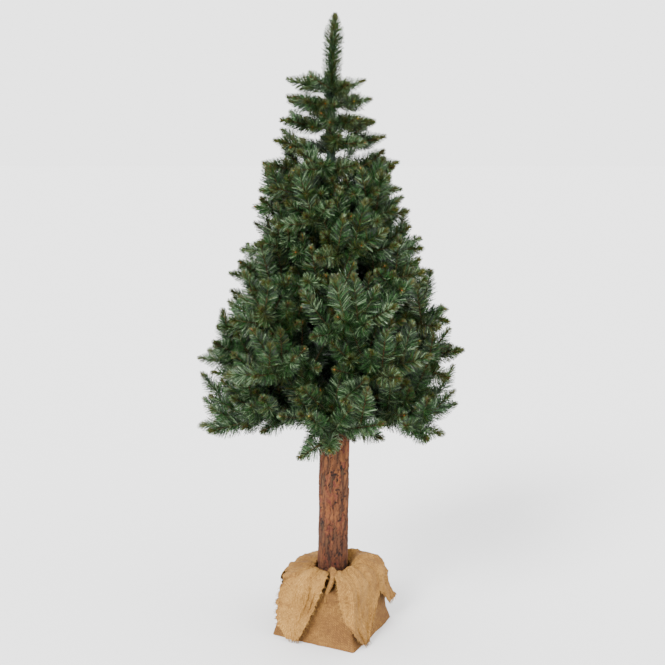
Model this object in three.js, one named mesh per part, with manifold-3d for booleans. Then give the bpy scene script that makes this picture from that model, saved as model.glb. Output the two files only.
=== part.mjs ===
// An artificial Christmas tree on a natural pine log: a block wrapped in a jute cloth, the log,
// a wrapped steel pole and branches of bottle-brush twigs in whorls up to a leading shoot.
// Millimetres, +Z up, the front towards -Y. The origin is the middle of the block's underside.
import * as THREE from 'three';
import { mergeVertices } from 'three/addons/utils/BufferGeometryUtils.js';
import Module from 'manifold-3d';

const wasm = await Module();
wasm.setup();

// Overall size
const TREE_HEIGHT = 1800;
const CLEARANCE = 0.3;

// Stand block, turned so that one corner faces the front right
const BLOCK_SIDE = 228;
const BLOCK_HEIGHT = 150;
const BLOCK_TURN = THREE.MathUtils.degToRad(-26.2);

// Log: cut flat at both ends, nearly cylindrical, leaning a little to the right
const LOG_FOOT_Z = BLOCK_HEIGHT + CLEARANCE;
const LOG_TOP_Z = 640;
const LOG_FOOT_RADIUS = 43.2;
const LOG_TOP_RADIUS = 44.5;
const LOG_LEAN = 7;
const LOG_SIDES = 16;
const LOG_RINGS = 7;
const LOG_LUMP = 1.4;

// Pole: set in a blind bore in the log's top, leaning a little to the left
const POLE_RADIUS = 13;
const POLE_SIDES = 16;
const POLE_TOP_Z = 1590;
const POLE_SOCKET_DEPTH = 90;
const POLE_X_AT_LOG = 5;
const POLE_X_AT_TOP = -6;

// Leading shoot, seated on the pole's top
const LEADER = { tipX: 7, seat: 0.8, turn: 0.4, girth: 1.6, reach: 33, whorls: 6 };

// Needled twigs: a three-sided core with three blades of needles, cut into teeth. The teeth are
// longest in the middle of the twig, and one that would leave the twig's space is shortened.
const CORE_RADIUS = 4.5;
const CORE_TAPER = 0.5;
const VALLEY_SWELL = 6;
const NEEDLE_REACH = 36;
const TWIG_TWIST = 0.35;
const TOOTH_SWEEP = 0.92;
const TIP_SHARE = 0.9;
const TOOTH_FITS = [1, 0.8, 0.62, 0.46];
const SHORTEST_TOOTH = 0.3;
const toothSwell = (share) => Math.min(1, 0.75 + 0.9 * share, 1.45 - 0.85 * share);

// Stems of branches. The spreads are in degrees and millimetres to either side, and the bare
// shares are those of a stem with many side twigs and of one with few.
const STEM = {
  girth: 1.15,
  bend: 0.00012,
  longest: 1000,
  riseSpread: 2,
  heightSpread: 9,
  bareShare: 0.66,
  shortBareShare: 0.15,
  fewTwigs: 2,
  whorlSpacing: 46,
};

// Side twigs. first, last and placeSpread are shares of the stem's length. Of several attempts
// the twig with the best product of length and room beside it is kept, if it has the least of both.
const SIDE_TWIG = {
  girth: 0.85,
  bend: 0.0004,
  bare: 28,
  first: 0.26,
  last: 0.72,
  placeSpread: 0.04,
  longest: 200,
  stemShare: 0.75,
  shortest: 85,
  threeWhorls: 145,
  attempts: 8,
  wantedRoom: 62,
  leastRoom: 40,
};
const ROOM_FROM = 60;
const ROOM_STEP = 20;
const WALL_GAP = 3;
const GROWTH_STEP = 10;

// Half width of the crown's outline, by height, to the left and to the right
const CROWN_PROFILE = [
  { z: 600, left: 385, right: 330 },
  { z: 655, left: 398, right: 365 },
  { z: 740, left: 392, right: 400 },
  { z: 810, left: 404, right: 398 },
  { z: 865, left: 385, right: 382 },
  { z: 950, left: 357, right: 345 },
  { z: 1000, left: 330, right: 326 },
  { z: 1115, left: 286, right: 296 },
  { z: 1190, left: 250, right: 254 },
  { z: 1300, left: 224, right: 215 },
  { z: 1400, left: 206, right: 190 },
  { z: 1475, left: 160, right: 154 },
  { z: 1540, left: 148, right: 126 },
  { z: 1620, left: 134, right: 98 },
  { z: 1700, left: 110, right: 95 },
];

// Whorls of branches from the top down. z is where the stems leave the pole, turn is the first
// branch's direction in degrees from +X, rise is the stem's slope, and roof is the cone between
// this whorl's space and the one above it, given by its height on the axis and its slope.
const WHORLS = [
  { z: 1584, branches: 3, turn: 178, rise: 14, twigs: 1, roof: { z: 1640, slope: 0.5 } },
  { z: 1536, branches: 3, turn: 118, rise: 12, twigs: 2, roof: { z: 1563, slope: 0.34 } },
  { z: 1486, branches: 3, turn: 183, rise: 9, twigs: 3, roof: { z: 1514, slope: 0.22 } },
  { z: 1428, branches: 4, turn: 8, rise: 12, twigs: 4, roof: { z: 1460, slope: 0.2 } },
  { z: 1362, branches: 4, turn: 172, rise: 9, twigs: 5, roof: { z: 1396, slope: 0.22 } },
  { z: 1290, branches: 4, turn: 218, rise: 10, twigs: 6, roof: { z: 1327, slope: 0.2 } },
  { z: 1208, branches: 5, turn: 180, rise: 12, twigs: 6, roof: { z: 1250, slope: 0.24 } },
  { z: 1118, branches: 5, turn: 216, rise: 12, twigs: 7, roof: { z: 1164, slope: 0.26 } },
  { z: 1020, branches: 5, turn: 184, rise: 12, twigs: 7, roof: { z: 1070, slope: 0.25 } },
  { z: 914, branches: 5, turn: 214, rise: 9, twigs: 7, roof: { z: 968, slope: 0.2 } },
  { z: 808, branches: 6, turn: 177, rise: 3, twigs: 7, roof: { z: 862, slope: 0.12 } },
  { z: 712, branches: 6, turn: 208, rise: -9, twigs: 7, roof: { z: 756, slope: 0.02 } },
];
// Side twigs in the order they leave the stem: to which side, and how far they turn from the stem
// sideways and upwards, in degrees
const TWIG_KINDS = [
  { side: 1, yaw: [26, 54], pitch: [-18, 0] },
  { side: -1, yaw: [26, 54], pitch: [16, 42] },
  { side: 1, yaw: [0, 16], pitch: [34, 60] },
  { side: -1, yaw: [26, 54], pitch: [-18, 4] },
  { side: 1, yaw: [26, 54], pitch: [14, 40] },
  { side: -1, yaw: [0, 16], pitch: [24, 48] },
  { side: -1, yaw: [16, 44], pitch: [-12, 12] },
];
const CROWN_FLOOR = { z: 690, slope: -0.16 };

// Two small sprays that hang in front of the log's top: an arm that leaves the pole and rises a
// little, and a blade that hangs from the arm's end to the tip
const DROOPING_SPRAYS = [
  { name: 'drooping_spray_left', z: 652, turn: 244, out: 95, tip: [-93, -112, 550], whorls: 4 },
  { name: 'drooping_spray_right', z: 652, turn: 302, out: 90, tip: [66, -112, 604], whorls: 3 },
];
const DROOP = { rise: 4, bareShare: 0.6, armReach: 12, overlap: 16, bladeReach: 26, bladeTurn: 0.5 };

// Jute cloth, tied round the log over the block, its four corners falling over as flaps
const CLOTH_THICKNESS = 4;
const WRAP_HALF = BLOCK_SIDE / 2 + CLOTH_THICKNESS;
const WRAP_FLARE = 18;
const CORNER_SHARE = 1.39;
const NECK_Z = 188;
const NECK_RADIUS = 54;
const WRAP_SIDES = 16;
// Rings up the wrap: height, distance to its sides, and its share of the way from the block's
// outline to the round neck
const WRAP_RINGS = [
  { z: 0, half: WRAP_HALF + WRAP_FLARE, neck: 0 },
  { z: 40, half: WRAP_HALF + 0.4 * WRAP_FLARE, neck: 0 },
  { z: BLOCK_HEIGHT + 8, half: WRAP_HALF, neck: 0 },
  { z: BLOCK_HEIGHT + 24, half: WRAP_HALF - 18, neck: 0.5 },
  { z: NECK_Z, half: WRAP_HALF, neck: 1 },
  { z: NECK_Z + 10, half: WRAP_HALF, neck: 0.98 },
];
const LOG_BORE_GAP = 1;
// A flap rises from the neck to its hump, runs to its shoulder, turns down over the block's edge
// and falls to its corner. stand is how far it lies outside the wrap, and fall is its corner's height.
// Its edges are its first and last direction, in degrees, at the neck, the hump, the
// shoulder, the block's top edge, the side, low on the side and at its corner
const FLAPS = [
  {
    hump: 204,
    shoulder: 108,
    stand: 11,
    fall: 4,
    edges: [[204, 261], [198, 262], [196, 261], [196, 257], [200, 252], [206, 244], [222, 231]],
  },
  {
    hump: 209,
    shoulder: 108,
    stand: 14,
    fall: 6,
    edges: [[-92, -24], [-88, -18], [-86, -14], [-84, -12], [-82, -14], [-72, -34], [-58, -50]],
  },
  {
    hump: 216,
    shoulder: 108,
    stand: 12,
    fall: 66,
    edges: [[-20, 62], [-16, 62], [-10, 64], [-8, 60], [-4, 48], [0, 32], [4, 14]],
  },
  {
    hump: 208,
    shoulder: 130,
    stand: 12,
    fall: 50,
    edges: [[100, 200], [100, 200], [104, 198], [108, 194], [118, 178], [128, 164], [140, 150]],
  },
];
const FLAP_COLUMNS = 6;
const FLAP_SAG = 9;
const FLAP_SIDE_Z = 120;
const FLAP_HUMP_RADIUS = 78;
const FLAP_EDGE_DROP = 36;
const FLAP_LOW_SHARE = 0.55;
const FLAP_FLARES = { side: 2, low: 9, corner: 18 };

const MATERIALS = {
  block: new THREE.MeshStandardMaterial({ color: 0x9a7a55, roughness: 0.9, metalness: 0 }),
  jute: new THREE.MeshStandardMaterial({ color: 0xc8a06e, roughness: 0.95, metalness: 0 }),
  bark: new THREE.MeshStandardMaterial({ color: 0x7c4a35, roughness: 0.95, metalness: 0 }),
  pole: new THREE.MeshStandardMaterial({ color: 0x234b32, roughness: 0.45, metalness: 0 }),
  needles: new THREE.MeshStandardMaterial({ color: 0x2d4a34, roughness: 0.7, metalness: 0 }),
};

// Seeded random numbers, from 0 to 1
function seededRandom(seed) {
  let state = seed >>> 0;
  return () => {
    state = (state + 0x6d2b79f5) >>> 0;
    let t = state;
    t = Math.imul(t ^ (t >>> 15), t | 1);
    t = (t ^ (t + Math.imul(t ^ (t >>> 7), t | 61))) >>> 0;
    return ((t ^ (t >>> 14)) >>> 0) / 4294967296;
  };
}

const between = (random, low, high) => low + (high - low) * random();

function toSolid(geometry) {
  const bare = geometry.clone();
  bare.deleteAttribute('normal');
  bare.deleteAttribute('uv');
  const merged = mergeVertices(bare, 1e-4);
  return new wasm.Manifold(new wasm.Mesh({
    numProp: 3,
    vertProperties: new Float32Array(merged.attributes.position.array),
    triVerts: new Uint32Array(merged.index.array),
  }));
}

function toGeometry(solid) {
  const mesh = solid.getMesh();
  const geometry = new THREE.BufferGeometry();
  geometry.setAttribute('position', new THREE.BufferAttribute(new Float32Array(mesh.vertProperties), 3));
  geometry.setIndex(new THREE.BufferAttribute(new Uint32Array(mesh.triVerts), 1));
  geometry.computeVertexNormals();
  return geometry;
}

function solidFrom(points, triangles) {
  return new wasm.Manifold(new wasm.Mesh({
    numProp: 3,
    vertProperties: new Float32Array(points.flatMap((p) => [p.x, p.y, p.z])),
    triVerts: new Uint32Array(triangles.flat()),
  }));
}

// The largest body of a fused solid: scraps that touch nothing are dropped
function largestBody(solid) {
  return solid.decompose().reduce((best, body) => (body.volume() > best.volume() ? body : best));
}

// A closed tube through rings of points, all with the same number of points
function loft(rings) {
  const count = rings[0].length;
  const points = rings.flat();
  const triangles = [];
  for (let ring = 0; ring < rings.length - 1; ring += 1) {
    for (let i = 0; i < count; i += 1) {
      const a = ring * count + i;
      const b = ring * count + ((i + 1) % count);
      triangles.push([a, b, b + count], [a, b + count, a + count]);
    }
  }
  const last = (rings.length - 1) * count;
  for (let i = 1; i < count - 1; i += 1) {
    triangles.push([0, i + 1, i], [last, last + i, last + i + 1]);
  }
  return solidFrom(points, triangles);
}

const poleX = (z) => {
  const share = (z - LOG_TOP_Z) / (POLE_TOP_Z - LOG_TOP_Z);
  return THREE.MathUtils.lerp(POLE_X_AT_LOG, POLE_X_AT_TOP, share);
};

function polePiece(radius, bottomZ, topZ) {
  const ring = (z) => Array.from({ length: POLE_SIDES }, (_, i) => {
    const angle = (i / POLE_SIDES) * Math.PI * 2;
    return new THREE.Vector3(poleX(z) + radius * Math.cos(angle), radius * Math.sin(angle), z);
  });
  return loft([ring(bottomZ), ring(topZ)]);
}

function logPiece() {
  const rings = [];
  for (let i = 0; i < LOG_RINGS; i += 1) {
    const share = i / (LOG_RINGS - 1);
    const z = THREE.MathUtils.lerp(LOG_FOOT_Z, LOG_TOP_Z, share);
    const radius = THREE.MathUtils.lerp(LOG_FOOT_RADIUS, LOG_TOP_RADIUS, share);
    rings.push(Array.from({ length: LOG_SIDES }, (_, side) => {
      const angle = (side / LOG_SIDES) * Math.PI * 2;
      const lump = LOG_LUMP * Math.sin(3 * angle + 9 * share) * Math.sin(7 * share + angle);
      const r = radius + lump;
      return new THREE.Vector3(LOG_LEAN * share + r * Math.cos(angle), r * Math.sin(angle), z);
    }));
  }
  const socket = polePiece(POLE_RADIUS + CLEARANCE, LOG_TOP_Z - POLE_SOCKET_DEPTH, LOG_TOP_Z + 1);
  return loft(rings).subtract(socket);
}

function crownReach(angle, z) {
  const above = CROWN_PROFILE.findIndex((level) => level.z >= z);
  const top = CROWN_PROFILE[above < 0 ? CROWN_PROFILE.length - 1 : above];
  const base = CROWN_PROFILE[Math.max(0, above < 0 ? CROWN_PROFILE.length - 1 : above - 1)];
  const share = top.z === base.z ? 0 : (z - base.z) / (top.z - base.z);
  const left = THREE.MathUtils.lerp(base.left, top.left, share);
  const right = THREE.MathUtils.lerp(base.right, top.right, share);
  return (left + right) / 2 + ((right - left) / 2) * Math.cos(angle);
}

const coneZ = (cone, radius) => cone.z + cone.slope * radius;

// The space of one branch: a wedge about the pole between two cones, inside the crown's outline
function insideSpace(space, point) {
  const x = point.x - space.poleX;
  const along = x * Math.cos(space.angle) + point.y * Math.sin(space.angle);
  const across = -x * Math.sin(space.angle) + point.y * Math.cos(space.angle);
  const toWall = along * Math.sin(space.halfAngle) - Math.abs(across) * Math.cos(space.halfAngle);
  const radius = Math.hypot(point.x, point.y);
  const clearOfPole = Math.hypot(x, point.y) > POLE_RADIUS + WALL_GAP;
  const aboveFloor = point.z > coneZ(space.floor, radius) + WALL_GAP;
  const belowRoof = point.z < coneZ(space.roof, radius) - WALL_GAP;
  return toWall > WALL_GAP && clearOfPole && aboveFloor && belowRoof;
}

const insideCrown = (point) =>
  Math.hypot(point.x, point.y) < crownReach(Math.atan2(point.y, point.x), point.z);

// A point on a twig's axis, which bends a little upwards from its first direction
function axisPoint(twig, distance) {
  const point = twig.start.clone().addScaledVector(twig.direction, distance);
  point.z += twig.bend * distance * distance;
  return point;
}

// A three-sided core whose three blades are cut into teeth that point forwards. A tooth that
// would leave the space is shortened.
function needleTwig(twig) {
  const sideways = new THREE.Vector3(0, 0, 1).cross(twig.direction).normalize();
  const upwards = twig.direction.clone().cross(sideways).normalize();
  const offset = (distance, radius, turn) => axisPoint(twig, distance)
    .addScaledVector(sideways, radius * Math.cos(turn))
    .addScaledVector(upwards, radius * Math.sin(turn));
  const third = (Math.PI * 2) / 3;
  const bladed = twig.length * TIP_SHARE - twig.bare;
  const stations = [];
  if (twig.bare > 0) {
    stations.push({ distance: 0, radius: CORE_RADIUS * twig.girth, turn: twig.turn });
  }
  for (let i = 0; i <= twig.whorls; i += 1) {
    const share = i / twig.whorls;
    const core = CORE_RADIUS * (1 - CORE_TAPER * share);
    stations.push({
      distance: twig.bare + bladed * share,
      radius: twig.girth * (core + VALLEY_SWELL * Math.sin(Math.PI * share)),
      turn: twig.turn + TWIG_TWIST * i,
    });
  }
  const sides = [0, 1, 2];
  const points = stations.flatMap((s) => sides.map((k) => offset(s.distance, s.radius, s.turn + k * third)));
  if (twig.upright) {
    points.slice(0, 3).forEach((point, k) => {
      const turn = twig.turn + k * third;
      point.copy(twig.start)
        .addScaledVector(sideways, CORE_RADIUS * twig.girth * Math.cos(turn));
      point.z += CORE_RADIUS * twig.girth * Math.sin(turn);
    });
  }
  const triangles = [[0, 2, 1]];
  const firstWhorl = stations.length - twig.whorls - 1;
  for (let s = 0; s < stations.length - 1; s += 1) {
    for (let k = 0; k < 3; k += 1) {
      const a = 3 * s + k;
      const b = 3 * s + ((k + 1) % 3);
      if (s < firstWhorl) {
        triangles.push([a, b, b + 3], [a, b + 3, a + 3]);
        continue;
      }
      const share = (s - firstWhorl + 1) / twig.whorls;
      const here = stations[s];
      const next = stations[s + 1];
      const distance = THREE.MathUtils.lerp(here.distance, next.distance, TOOTH_SWEEP);
      const turn = (here.turn + next.turn) / 2 + k * third + third / 2;
      const full = twig.reach * toothSwell(share);
      const fits = TOOTH_FITS.find((part) => twig.inside(offset(distance, full * part, turn)));
      points.push(offset(distance, full * (fits ?? SHORTEST_TOOTH), turn));
      const tooth = points.length - 1;
      triangles.push([a, b, tooth], [b, b + 3, tooth], [b + 3, a + 3, tooth], [a + 3, a, tooth]);
    }
  }
  points.push(axisPoint(twig, twig.length));
  const tip = points.length - 1;
  const last = 3 * (stations.length - 1);
  for (let k = 0; k < 3; k += 1) {
    triangles.push([last + k, last + ((k + 1) % 3), tip]);
  }
  return solidFrom(points, triangles);
}

// How far a twig can grow before its axis leaves its space or the crown
function freeLength(twig, wanted) {
  let length = 0;
  while (length < wanted) {
    const next = axisPoint(twig, length + GROWTH_STEP);
    const clear = length < twig.bare || (insideSpace(twig.space, next) && insideCrown(next));
    if (!clear) {
      break;
    }
    length += GROWTH_STEP;
  }
  let spare = GROWTH_STEP;
  while (spare > 1) {
    spare /= 2;
    const next = axisPoint(twig, length + spare);
    if (length < wanted && insideSpace(twig.space, next) && insideCrown(next)) {
      length += spare;
    }
  }
  return length;
}

// The least distance from the needled part of a twig to those of the twigs already grown
function roomBeside(twig, others) {
  let room = Infinity;
  for (let d = ROOM_FROM; d <= twig.length; d += ROOM_STEP) {
    const point = axisPoint(twig, d);
    others.forEach((other) => {
      for (let e = other.bare; e <= other.length; e += ROOM_STEP) {
        room = Math.min(room, point.distanceTo(axisPoint(other, e)));
      }
    });
  }
  return room;
}

function direction(angle, rise) {
  return new THREE.Vector3(
    Math.cos(angle) * Math.cos(rise),
    Math.sin(angle) * Math.cos(rise),
    Math.sin(rise),
  );
}

// The twigs of one branch: its stem with a needled end, then side twigs in pairs and twigs that
// rise from its back, each as long as the branch's space allows
function branchTwigs(whorl, space, seed) {
  const random = seededRandom(seed);
  const spread = (limit) => between(random, -limit, limit);
  const rise = THREE.MathUtils.degToRad(whorl.rise + spread(STEM.riseSpread));
  const start = new THREE.Vector3(
    space.poleX + (POLE_RADIUS + CLEARANCE) * Math.cos(space.angle),
    (POLE_RADIUS + CLEARANCE) * Math.sin(space.angle),
    whorl.z + spread(STEM.heightSpread),
  );
  const inside = (point) => insideSpace(space, point);
  const stem = {
    start,
    direction: direction(space.angle, rise),
    bend: STEM.bend,
    bare: 0,
    turn: Math.PI / 2,
    reach: NEEDLE_REACH,
    girth: STEM.girth,
    upright: true,
    space,
    inside,
  };
  stem.length = freeLength(stem, STEM.longest);
  stem.bare = stem.length * (whorl.twigs > STEM.fewTwigs ? STEM.bareShare : STEM.shortBareShare);
  stem.whorls = Math.max(2, Math.round((stem.length - stem.bare) / STEM.whorlSpacing));
  const twigs = [stem];
  for (let i = 0; i < whorl.twigs; i += 1) {
    const kind = TWIG_KINDS[i % TWIG_KINDS.length];
    const place = THREE.MathUtils.lerp(SIDE_TWIG.first, SIDE_TWIG.last, (i + 0.5) / whorl.twigs);
    const longest = Math.min(SIDE_TWIG.longest, SIDE_TWIG.stemShare * stem.length);
    let best = null;
    for (let attempt = 0; attempt < SIDE_TWIG.attempts; attempt += 1) {
      const yaw = kind.side * THREE.MathUtils.degToRad(between(random, ...kind.yaw));
      const pitch = rise + THREE.MathUtils.degToRad(between(random, ...kind.pitch));
      const twig = {
        start: axisPoint(stem, stem.length * (place + spread(SIDE_TWIG.placeSpread))),
        direction: direction(space.angle + yaw, pitch),
        bend: between(random, 0, SIDE_TWIG.bend),
        bare: SIDE_TWIG.bare,
        turn: between(random, 0, 2),
        reach: NEEDLE_REACH,
        girth: SIDE_TWIG.girth,
        space,
        inside,
      };
      twig.length = freeLength(twig, between(random, 0.85, 1) * longest);
      twig.room = Math.min(SIDE_TWIG.wantedRoom, roomBeside(twig, twigs));
      twig.score = twig.length * twig.room;
      if (!best || twig.score > best.score) {
        best = twig;
      }
    }
    if (best.length >= SIDE_TWIG.shortest && best.room >= SIDE_TWIG.leastRoom) {
      best.whorls = best.length > SIDE_TWIG.threeWhorls ? 3 : 2;
      twigs.push(best);
    }
  }
  return twigs;
}

function fusedTwigs(twigs) {
  return largestBody(twigs.map(needleTwig).reduce((sum, twig) => sum.add(twig)));
}

function leaderPiece() {
  const start = new THREE.Vector3(POLE_X_AT_TOP, 0, POLE_TOP_Z + LEADER.seat);
  const toTip = new THREE.Vector3(LEADER.tipX, 0, TREE_HEIGHT).sub(start);
  return needleTwig({
    start,
    direction: toTip.clone().normalize(),
    bend: 0,
    bare: 0,
    turn: LEADER.turn,
    length: toTip.length(),
    reach: LEADER.reach,
    girth: LEADER.girth,
    whorls: LEADER.whorls,
    inside: () => true,
  });
}

// A small spray whose stem leaves the pole level, clears the log and then hangs down to its tip
function droopingPiece(spray) {
  const angle = THREE.MathUtils.degToRad(spray.turn);
  const centreX = poleX(spray.z);
  const out = (distance, z) =>
    new THREE.Vector3(centreX + distance * Math.cos(angle), distance * Math.sin(angle), z);
  const start = out(POLE_RADIUS + CLEARANCE, spray.z);
  const knee = out(spray.out, spray.z + DROOP.rise);
  const arm = needleTwig({
    start,
    direction: knee.clone().sub(start).normalize(),
    bend: 0,
    bare: DROOP.bareShare * spray.out,
    turn: Math.PI / 2,
    length: spray.out,
    reach: DROOP.armReach,
    girth: 1,
    whorls: 1,
    upright: true,
    inside: () => true,
  });
  const bladeStart = out(spray.out - DROOP.overlap, spray.z + DROOP.rise - 1);
  const toTip = new THREE.Vector3(...spray.tip).sub(bladeStart);
  const blade = needleTwig({
    start: bladeStart,
    direction: toTip.clone().normalize(),
    bend: 0,
    bare: 0,
    turn: DROOP.bladeTurn,
    length: toTip.length(),
    reach: DROOP.bladeReach,
    girth: 1,
    whorls: spray.whorls,
    inside: (point) => Math.hypot(point.x, point.y) > LOG_FOOT_RADIUS + WALL_GAP
      && point.z < coneZ(CROWN_FLOOR, Math.hypot(point.x, point.y)) - WALL_GAP,
  });
  return largestBody(arm.add(blade));
}

// Distance from the axis to the side of a square with blunt corners, by direction
function squareRadius(half, angle) {
  const turned = angle - BLOCK_TURN;
  const nearest = Math.max(Math.abs(Math.cos(turned)), Math.abs(Math.sin(turned)));
  return half * Math.min(1 / nearest, CORNER_SHARE);
}

function wrapRing(ring) {
  return Array.from({ length: WRAP_SIDES }, (_, i) => {
    const angle = (i / WRAP_SIDES) * Math.PI * 2 + BLOCK_TURN;
    const r = THREE.MathUtils.lerp(squareRadius(ring.half, angle), NECK_RADIUS, ring.neck);
    return new THREE.Vector3(r * Math.cos(angle), r * Math.sin(angle), ring.z);
  });
}

// Rows down a flap: height, distance from the axis, how far the row follows the block's square
// outline, how far its edges sag, and how much of the cloth's thickness is measured sideways
function flapRows(flap) {
  const side = WRAP_HALF + flap.stand;
  const low = THREE.MathUtils.lerp(FLAP_SIDE_Z, flap.fall, FLAP_LOW_SHARE);
  return [
    { z: NECK_Z - 4, r: NECK_RADIUS - 3, square: 0, sag: 0.2, sideways: 0.35 },
    { z: flap.hump, r: FLAP_HUMP_RADIUS, square: 0.1, sag: 0.7, sideways: 0.35 },
    { z: flap.hump - 6, r: flap.shoulder, square: 0.5, sag: 1, sideways: 0.35 },
    { z: flap.hump - FLAP_EDGE_DROP, r: side - 1, square: 0.9, sag: 1, sideways: 1 },
    { z: FLAP_SIDE_Z, r: side + FLAP_FLARES.side, square: 1, sag: 0.3, sideways: 1 },
    { z: low, r: side + FLAP_FLARES.low, square: 1, sag: 0, sideways: 1 },
    { z: flap.fall, r: side + FLAP_FLARES.corner, square: 1, sag: 0, sideways: 1 },
  ];
}

// One flap: a plate that leaves the neck, rolls over the hump and falls down the block's side,
// narrowing to its corner
function flapPiece(flap) {
  const rows = flapRows(flap);
  const outer = [];
  const inner = [];
  rows.forEach((row, rowIndex) => {
    for (let column = 0; column <= FLAP_COLUMNS; column += 1) {
      const across = (2 * column) / FLAP_COLUMNS - 1;
      const [from, to] = flap.edges[rowIndex];
      const angle = THREE.MathUtils.degToRad(THREE.MathUtils.lerp(from, to, (1 + across) / 2));
      const z = row.z - FLAP_SAG * across * across * row.sag;
      const r = THREE.MathUtils.lerp(row.r, squareRadius(row.r, angle), row.square);
      const point = (radius, height) =>
        new THREE.Vector3(radius * Math.cos(angle), radius * Math.sin(angle), height);
      const upwards = CLOTH_THICKNESS * (1 - row.sideways);
      outer.push(point(r, z + upwards));
      inner.push(point(r - CLOTH_THICKNESS * row.sideways, z - upwards));
    }
  });
  const columns = FLAP_COLUMNS + 1;
  const points = outer.concat(inner);
  const half = outer.length;
  const triangles = [];
  const quad = (a, b, c, d) => triangles.push([a, b, c], [a, c, d]);
  for (let row = 0; row < rows.length - 1; row += 1) {
    for (let column = 0; column < FLAP_COLUMNS; column += 1) {
      const a = row * columns + column;
      quad(a, a + columns, a + columns + 1, a + 1);
      quad(half + a, half + a + 1, half + a + columns + 1, half + a + columns);
    }
    const left = row * columns;
    const right = left + FLAP_COLUMNS;
    quad(left, half + left, half + left + columns, left + columns);
    quad(right, right + columns, half + right + columns, half + right);
  }
  const bottom = (rows.length - 1) * columns;
  for (let column = 0; column < FLAP_COLUMNS; column += 1) {
    quad(column, column + 1, half + column + 1, half + column);
    const b = bottom + column;
    quad(b, half + b, half + b + 1, b + 1);
  }
  return solidFrom(points, triangles);
}

function clothPiece() {
  const body = loft(WRAP_RINGS.map(wrapRing));
  const hollowSide = BLOCK_SIDE + 2 * CLEARANCE;
  const hollowTop = BLOCK_HEIGHT + CLEARANCE;
  const hollow = new THREE.BoxGeometry(hollowSide, hollowSide, 2 * hollowTop);
  hollow.rotateZ(BLOCK_TURN);
  const boreRing = (z) => Array.from({ length: LOG_SIDES }, (_, i) => {
    const angle = (i / LOG_SIDES) * Math.PI * 2;
    const r = LOG_FOOT_RADIUS + LOG_LUMP + LOG_BORE_GAP;
    return new THREE.Vector3(r * Math.cos(angle), r * Math.sin(angle), z);
  });
  const whole = FLAPS.reduce((sum, flap) => sum.add(flapPiece(flap)), body);
  const logBore = loft([boreRing(BLOCK_HEIGHT), boreRing(LOG_TOP_Z)]);
  return largestBody(whole.subtract(toSolid(hollow)).subtract(logBore));
}

function blockPiece() {
  const geometry = new THREE.BoxGeometry(BLOCK_SIDE, BLOCK_SIDE, BLOCK_HEIGHT);
  geometry.translate(0, 0, BLOCK_HEIGHT / 2);
  return geometry;
}

const tree = new THREE.Group();

function addPiece(name, geometry, material, group = tree) {
  const mesh = new THREE.Mesh(geometry, material);
  mesh.name = name;
  group.add(mesh);
  return mesh;
}

const stand = new THREE.Group();
tree.add(stand);
addPiece('stand_block', blockPiece(), MATERIALS.block, stand).rotation.z = BLOCK_TURN;
addPiece('jute_wrap', toGeometry(clothPiece()), MATERIALS.jute, stand);
addPiece('log_trunk', toGeometry(logPiece()), MATERIALS.bark);
const poleFoot = LOG_TOP_Z - POLE_SOCKET_DEPTH + CLEARANCE;
addPiece('pole', toGeometry(polePiece(POLE_RADIUS, poleFoot, POLE_TOP_Z)), MATERIALS.pole);

const crown = new THREE.Group();
tree.add(crown);
addPiece('leading_shoot', toGeometry(leaderPiece()), MATERIALS.needles, crown);
DROOPING_SPRAYS.forEach((spray) => {
  addPiece(spray.name, toGeometry(droopingPiece(spray)), MATERIALS.needles, crown);
});

WHORLS.forEach((whorl, level) => {
  const below = WHORLS[level + 1];
  const floor = below ? below.roof : CROWN_FLOOR;
  for (let i = 0; i < whorl.branches; i += 1) {
    const space = {
      poleX: poleX(whorl.z),
      angle: THREE.MathUtils.degToRad(whorl.turn + (360 / whorl.branches) * i),
      halfAngle: Math.PI / whorl.branches,
      floor,
      roof: whorl.roof,
    };
    const twigs = branchTwigs(whorl, space, 1000 * (level + 1) + i);
    const name = `branch_${String(level + 1).padStart(2, '0')}_${i + 1}`;
    addPiece(name, toGeometry(fusedTwigs(twigs)), MATERIALS.needles, crown);
  }
});

export default tree;
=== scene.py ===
"""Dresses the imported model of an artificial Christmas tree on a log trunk.

The crown is grown again by the rule of the part's source and carried to finer twigs and needles.
The log gets its bark's relief, the pole its wound tape, and the block its jute cloth.
"""
from dataclasses import dataclass, replace
from math import asin, atan2, ceil, cos, hypot, pi, radians, sin, sqrt

import bpy
import numpy as np
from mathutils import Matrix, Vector


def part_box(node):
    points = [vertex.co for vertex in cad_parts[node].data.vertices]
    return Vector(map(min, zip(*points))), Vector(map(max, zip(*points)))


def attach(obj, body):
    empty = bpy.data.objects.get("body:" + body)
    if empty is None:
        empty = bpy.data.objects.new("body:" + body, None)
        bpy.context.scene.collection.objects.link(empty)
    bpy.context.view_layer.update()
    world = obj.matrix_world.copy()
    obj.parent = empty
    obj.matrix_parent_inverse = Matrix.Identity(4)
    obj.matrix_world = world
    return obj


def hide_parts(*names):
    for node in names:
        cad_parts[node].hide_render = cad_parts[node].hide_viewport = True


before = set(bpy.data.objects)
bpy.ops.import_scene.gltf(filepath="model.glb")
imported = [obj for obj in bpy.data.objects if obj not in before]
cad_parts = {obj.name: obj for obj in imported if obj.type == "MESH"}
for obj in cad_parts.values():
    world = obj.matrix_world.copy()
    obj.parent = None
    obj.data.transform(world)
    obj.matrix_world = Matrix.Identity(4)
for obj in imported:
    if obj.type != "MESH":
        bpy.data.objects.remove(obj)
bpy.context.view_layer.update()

# The growth rule and the shapes are in millimetres, as the part is, and meshes are made in metres
MM = 0.001

# The photograph's camera: it stands in front of the tree and looks down a little
PICTURE_SIDE = 665
FOCAL_PIXELS = 1054.85
SENSOR_WIDTH = 36.0
CAMERA_PLACE = (0.0, -3.0, 1.45)
CAMERA_DOWN = radians(10.29)

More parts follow.
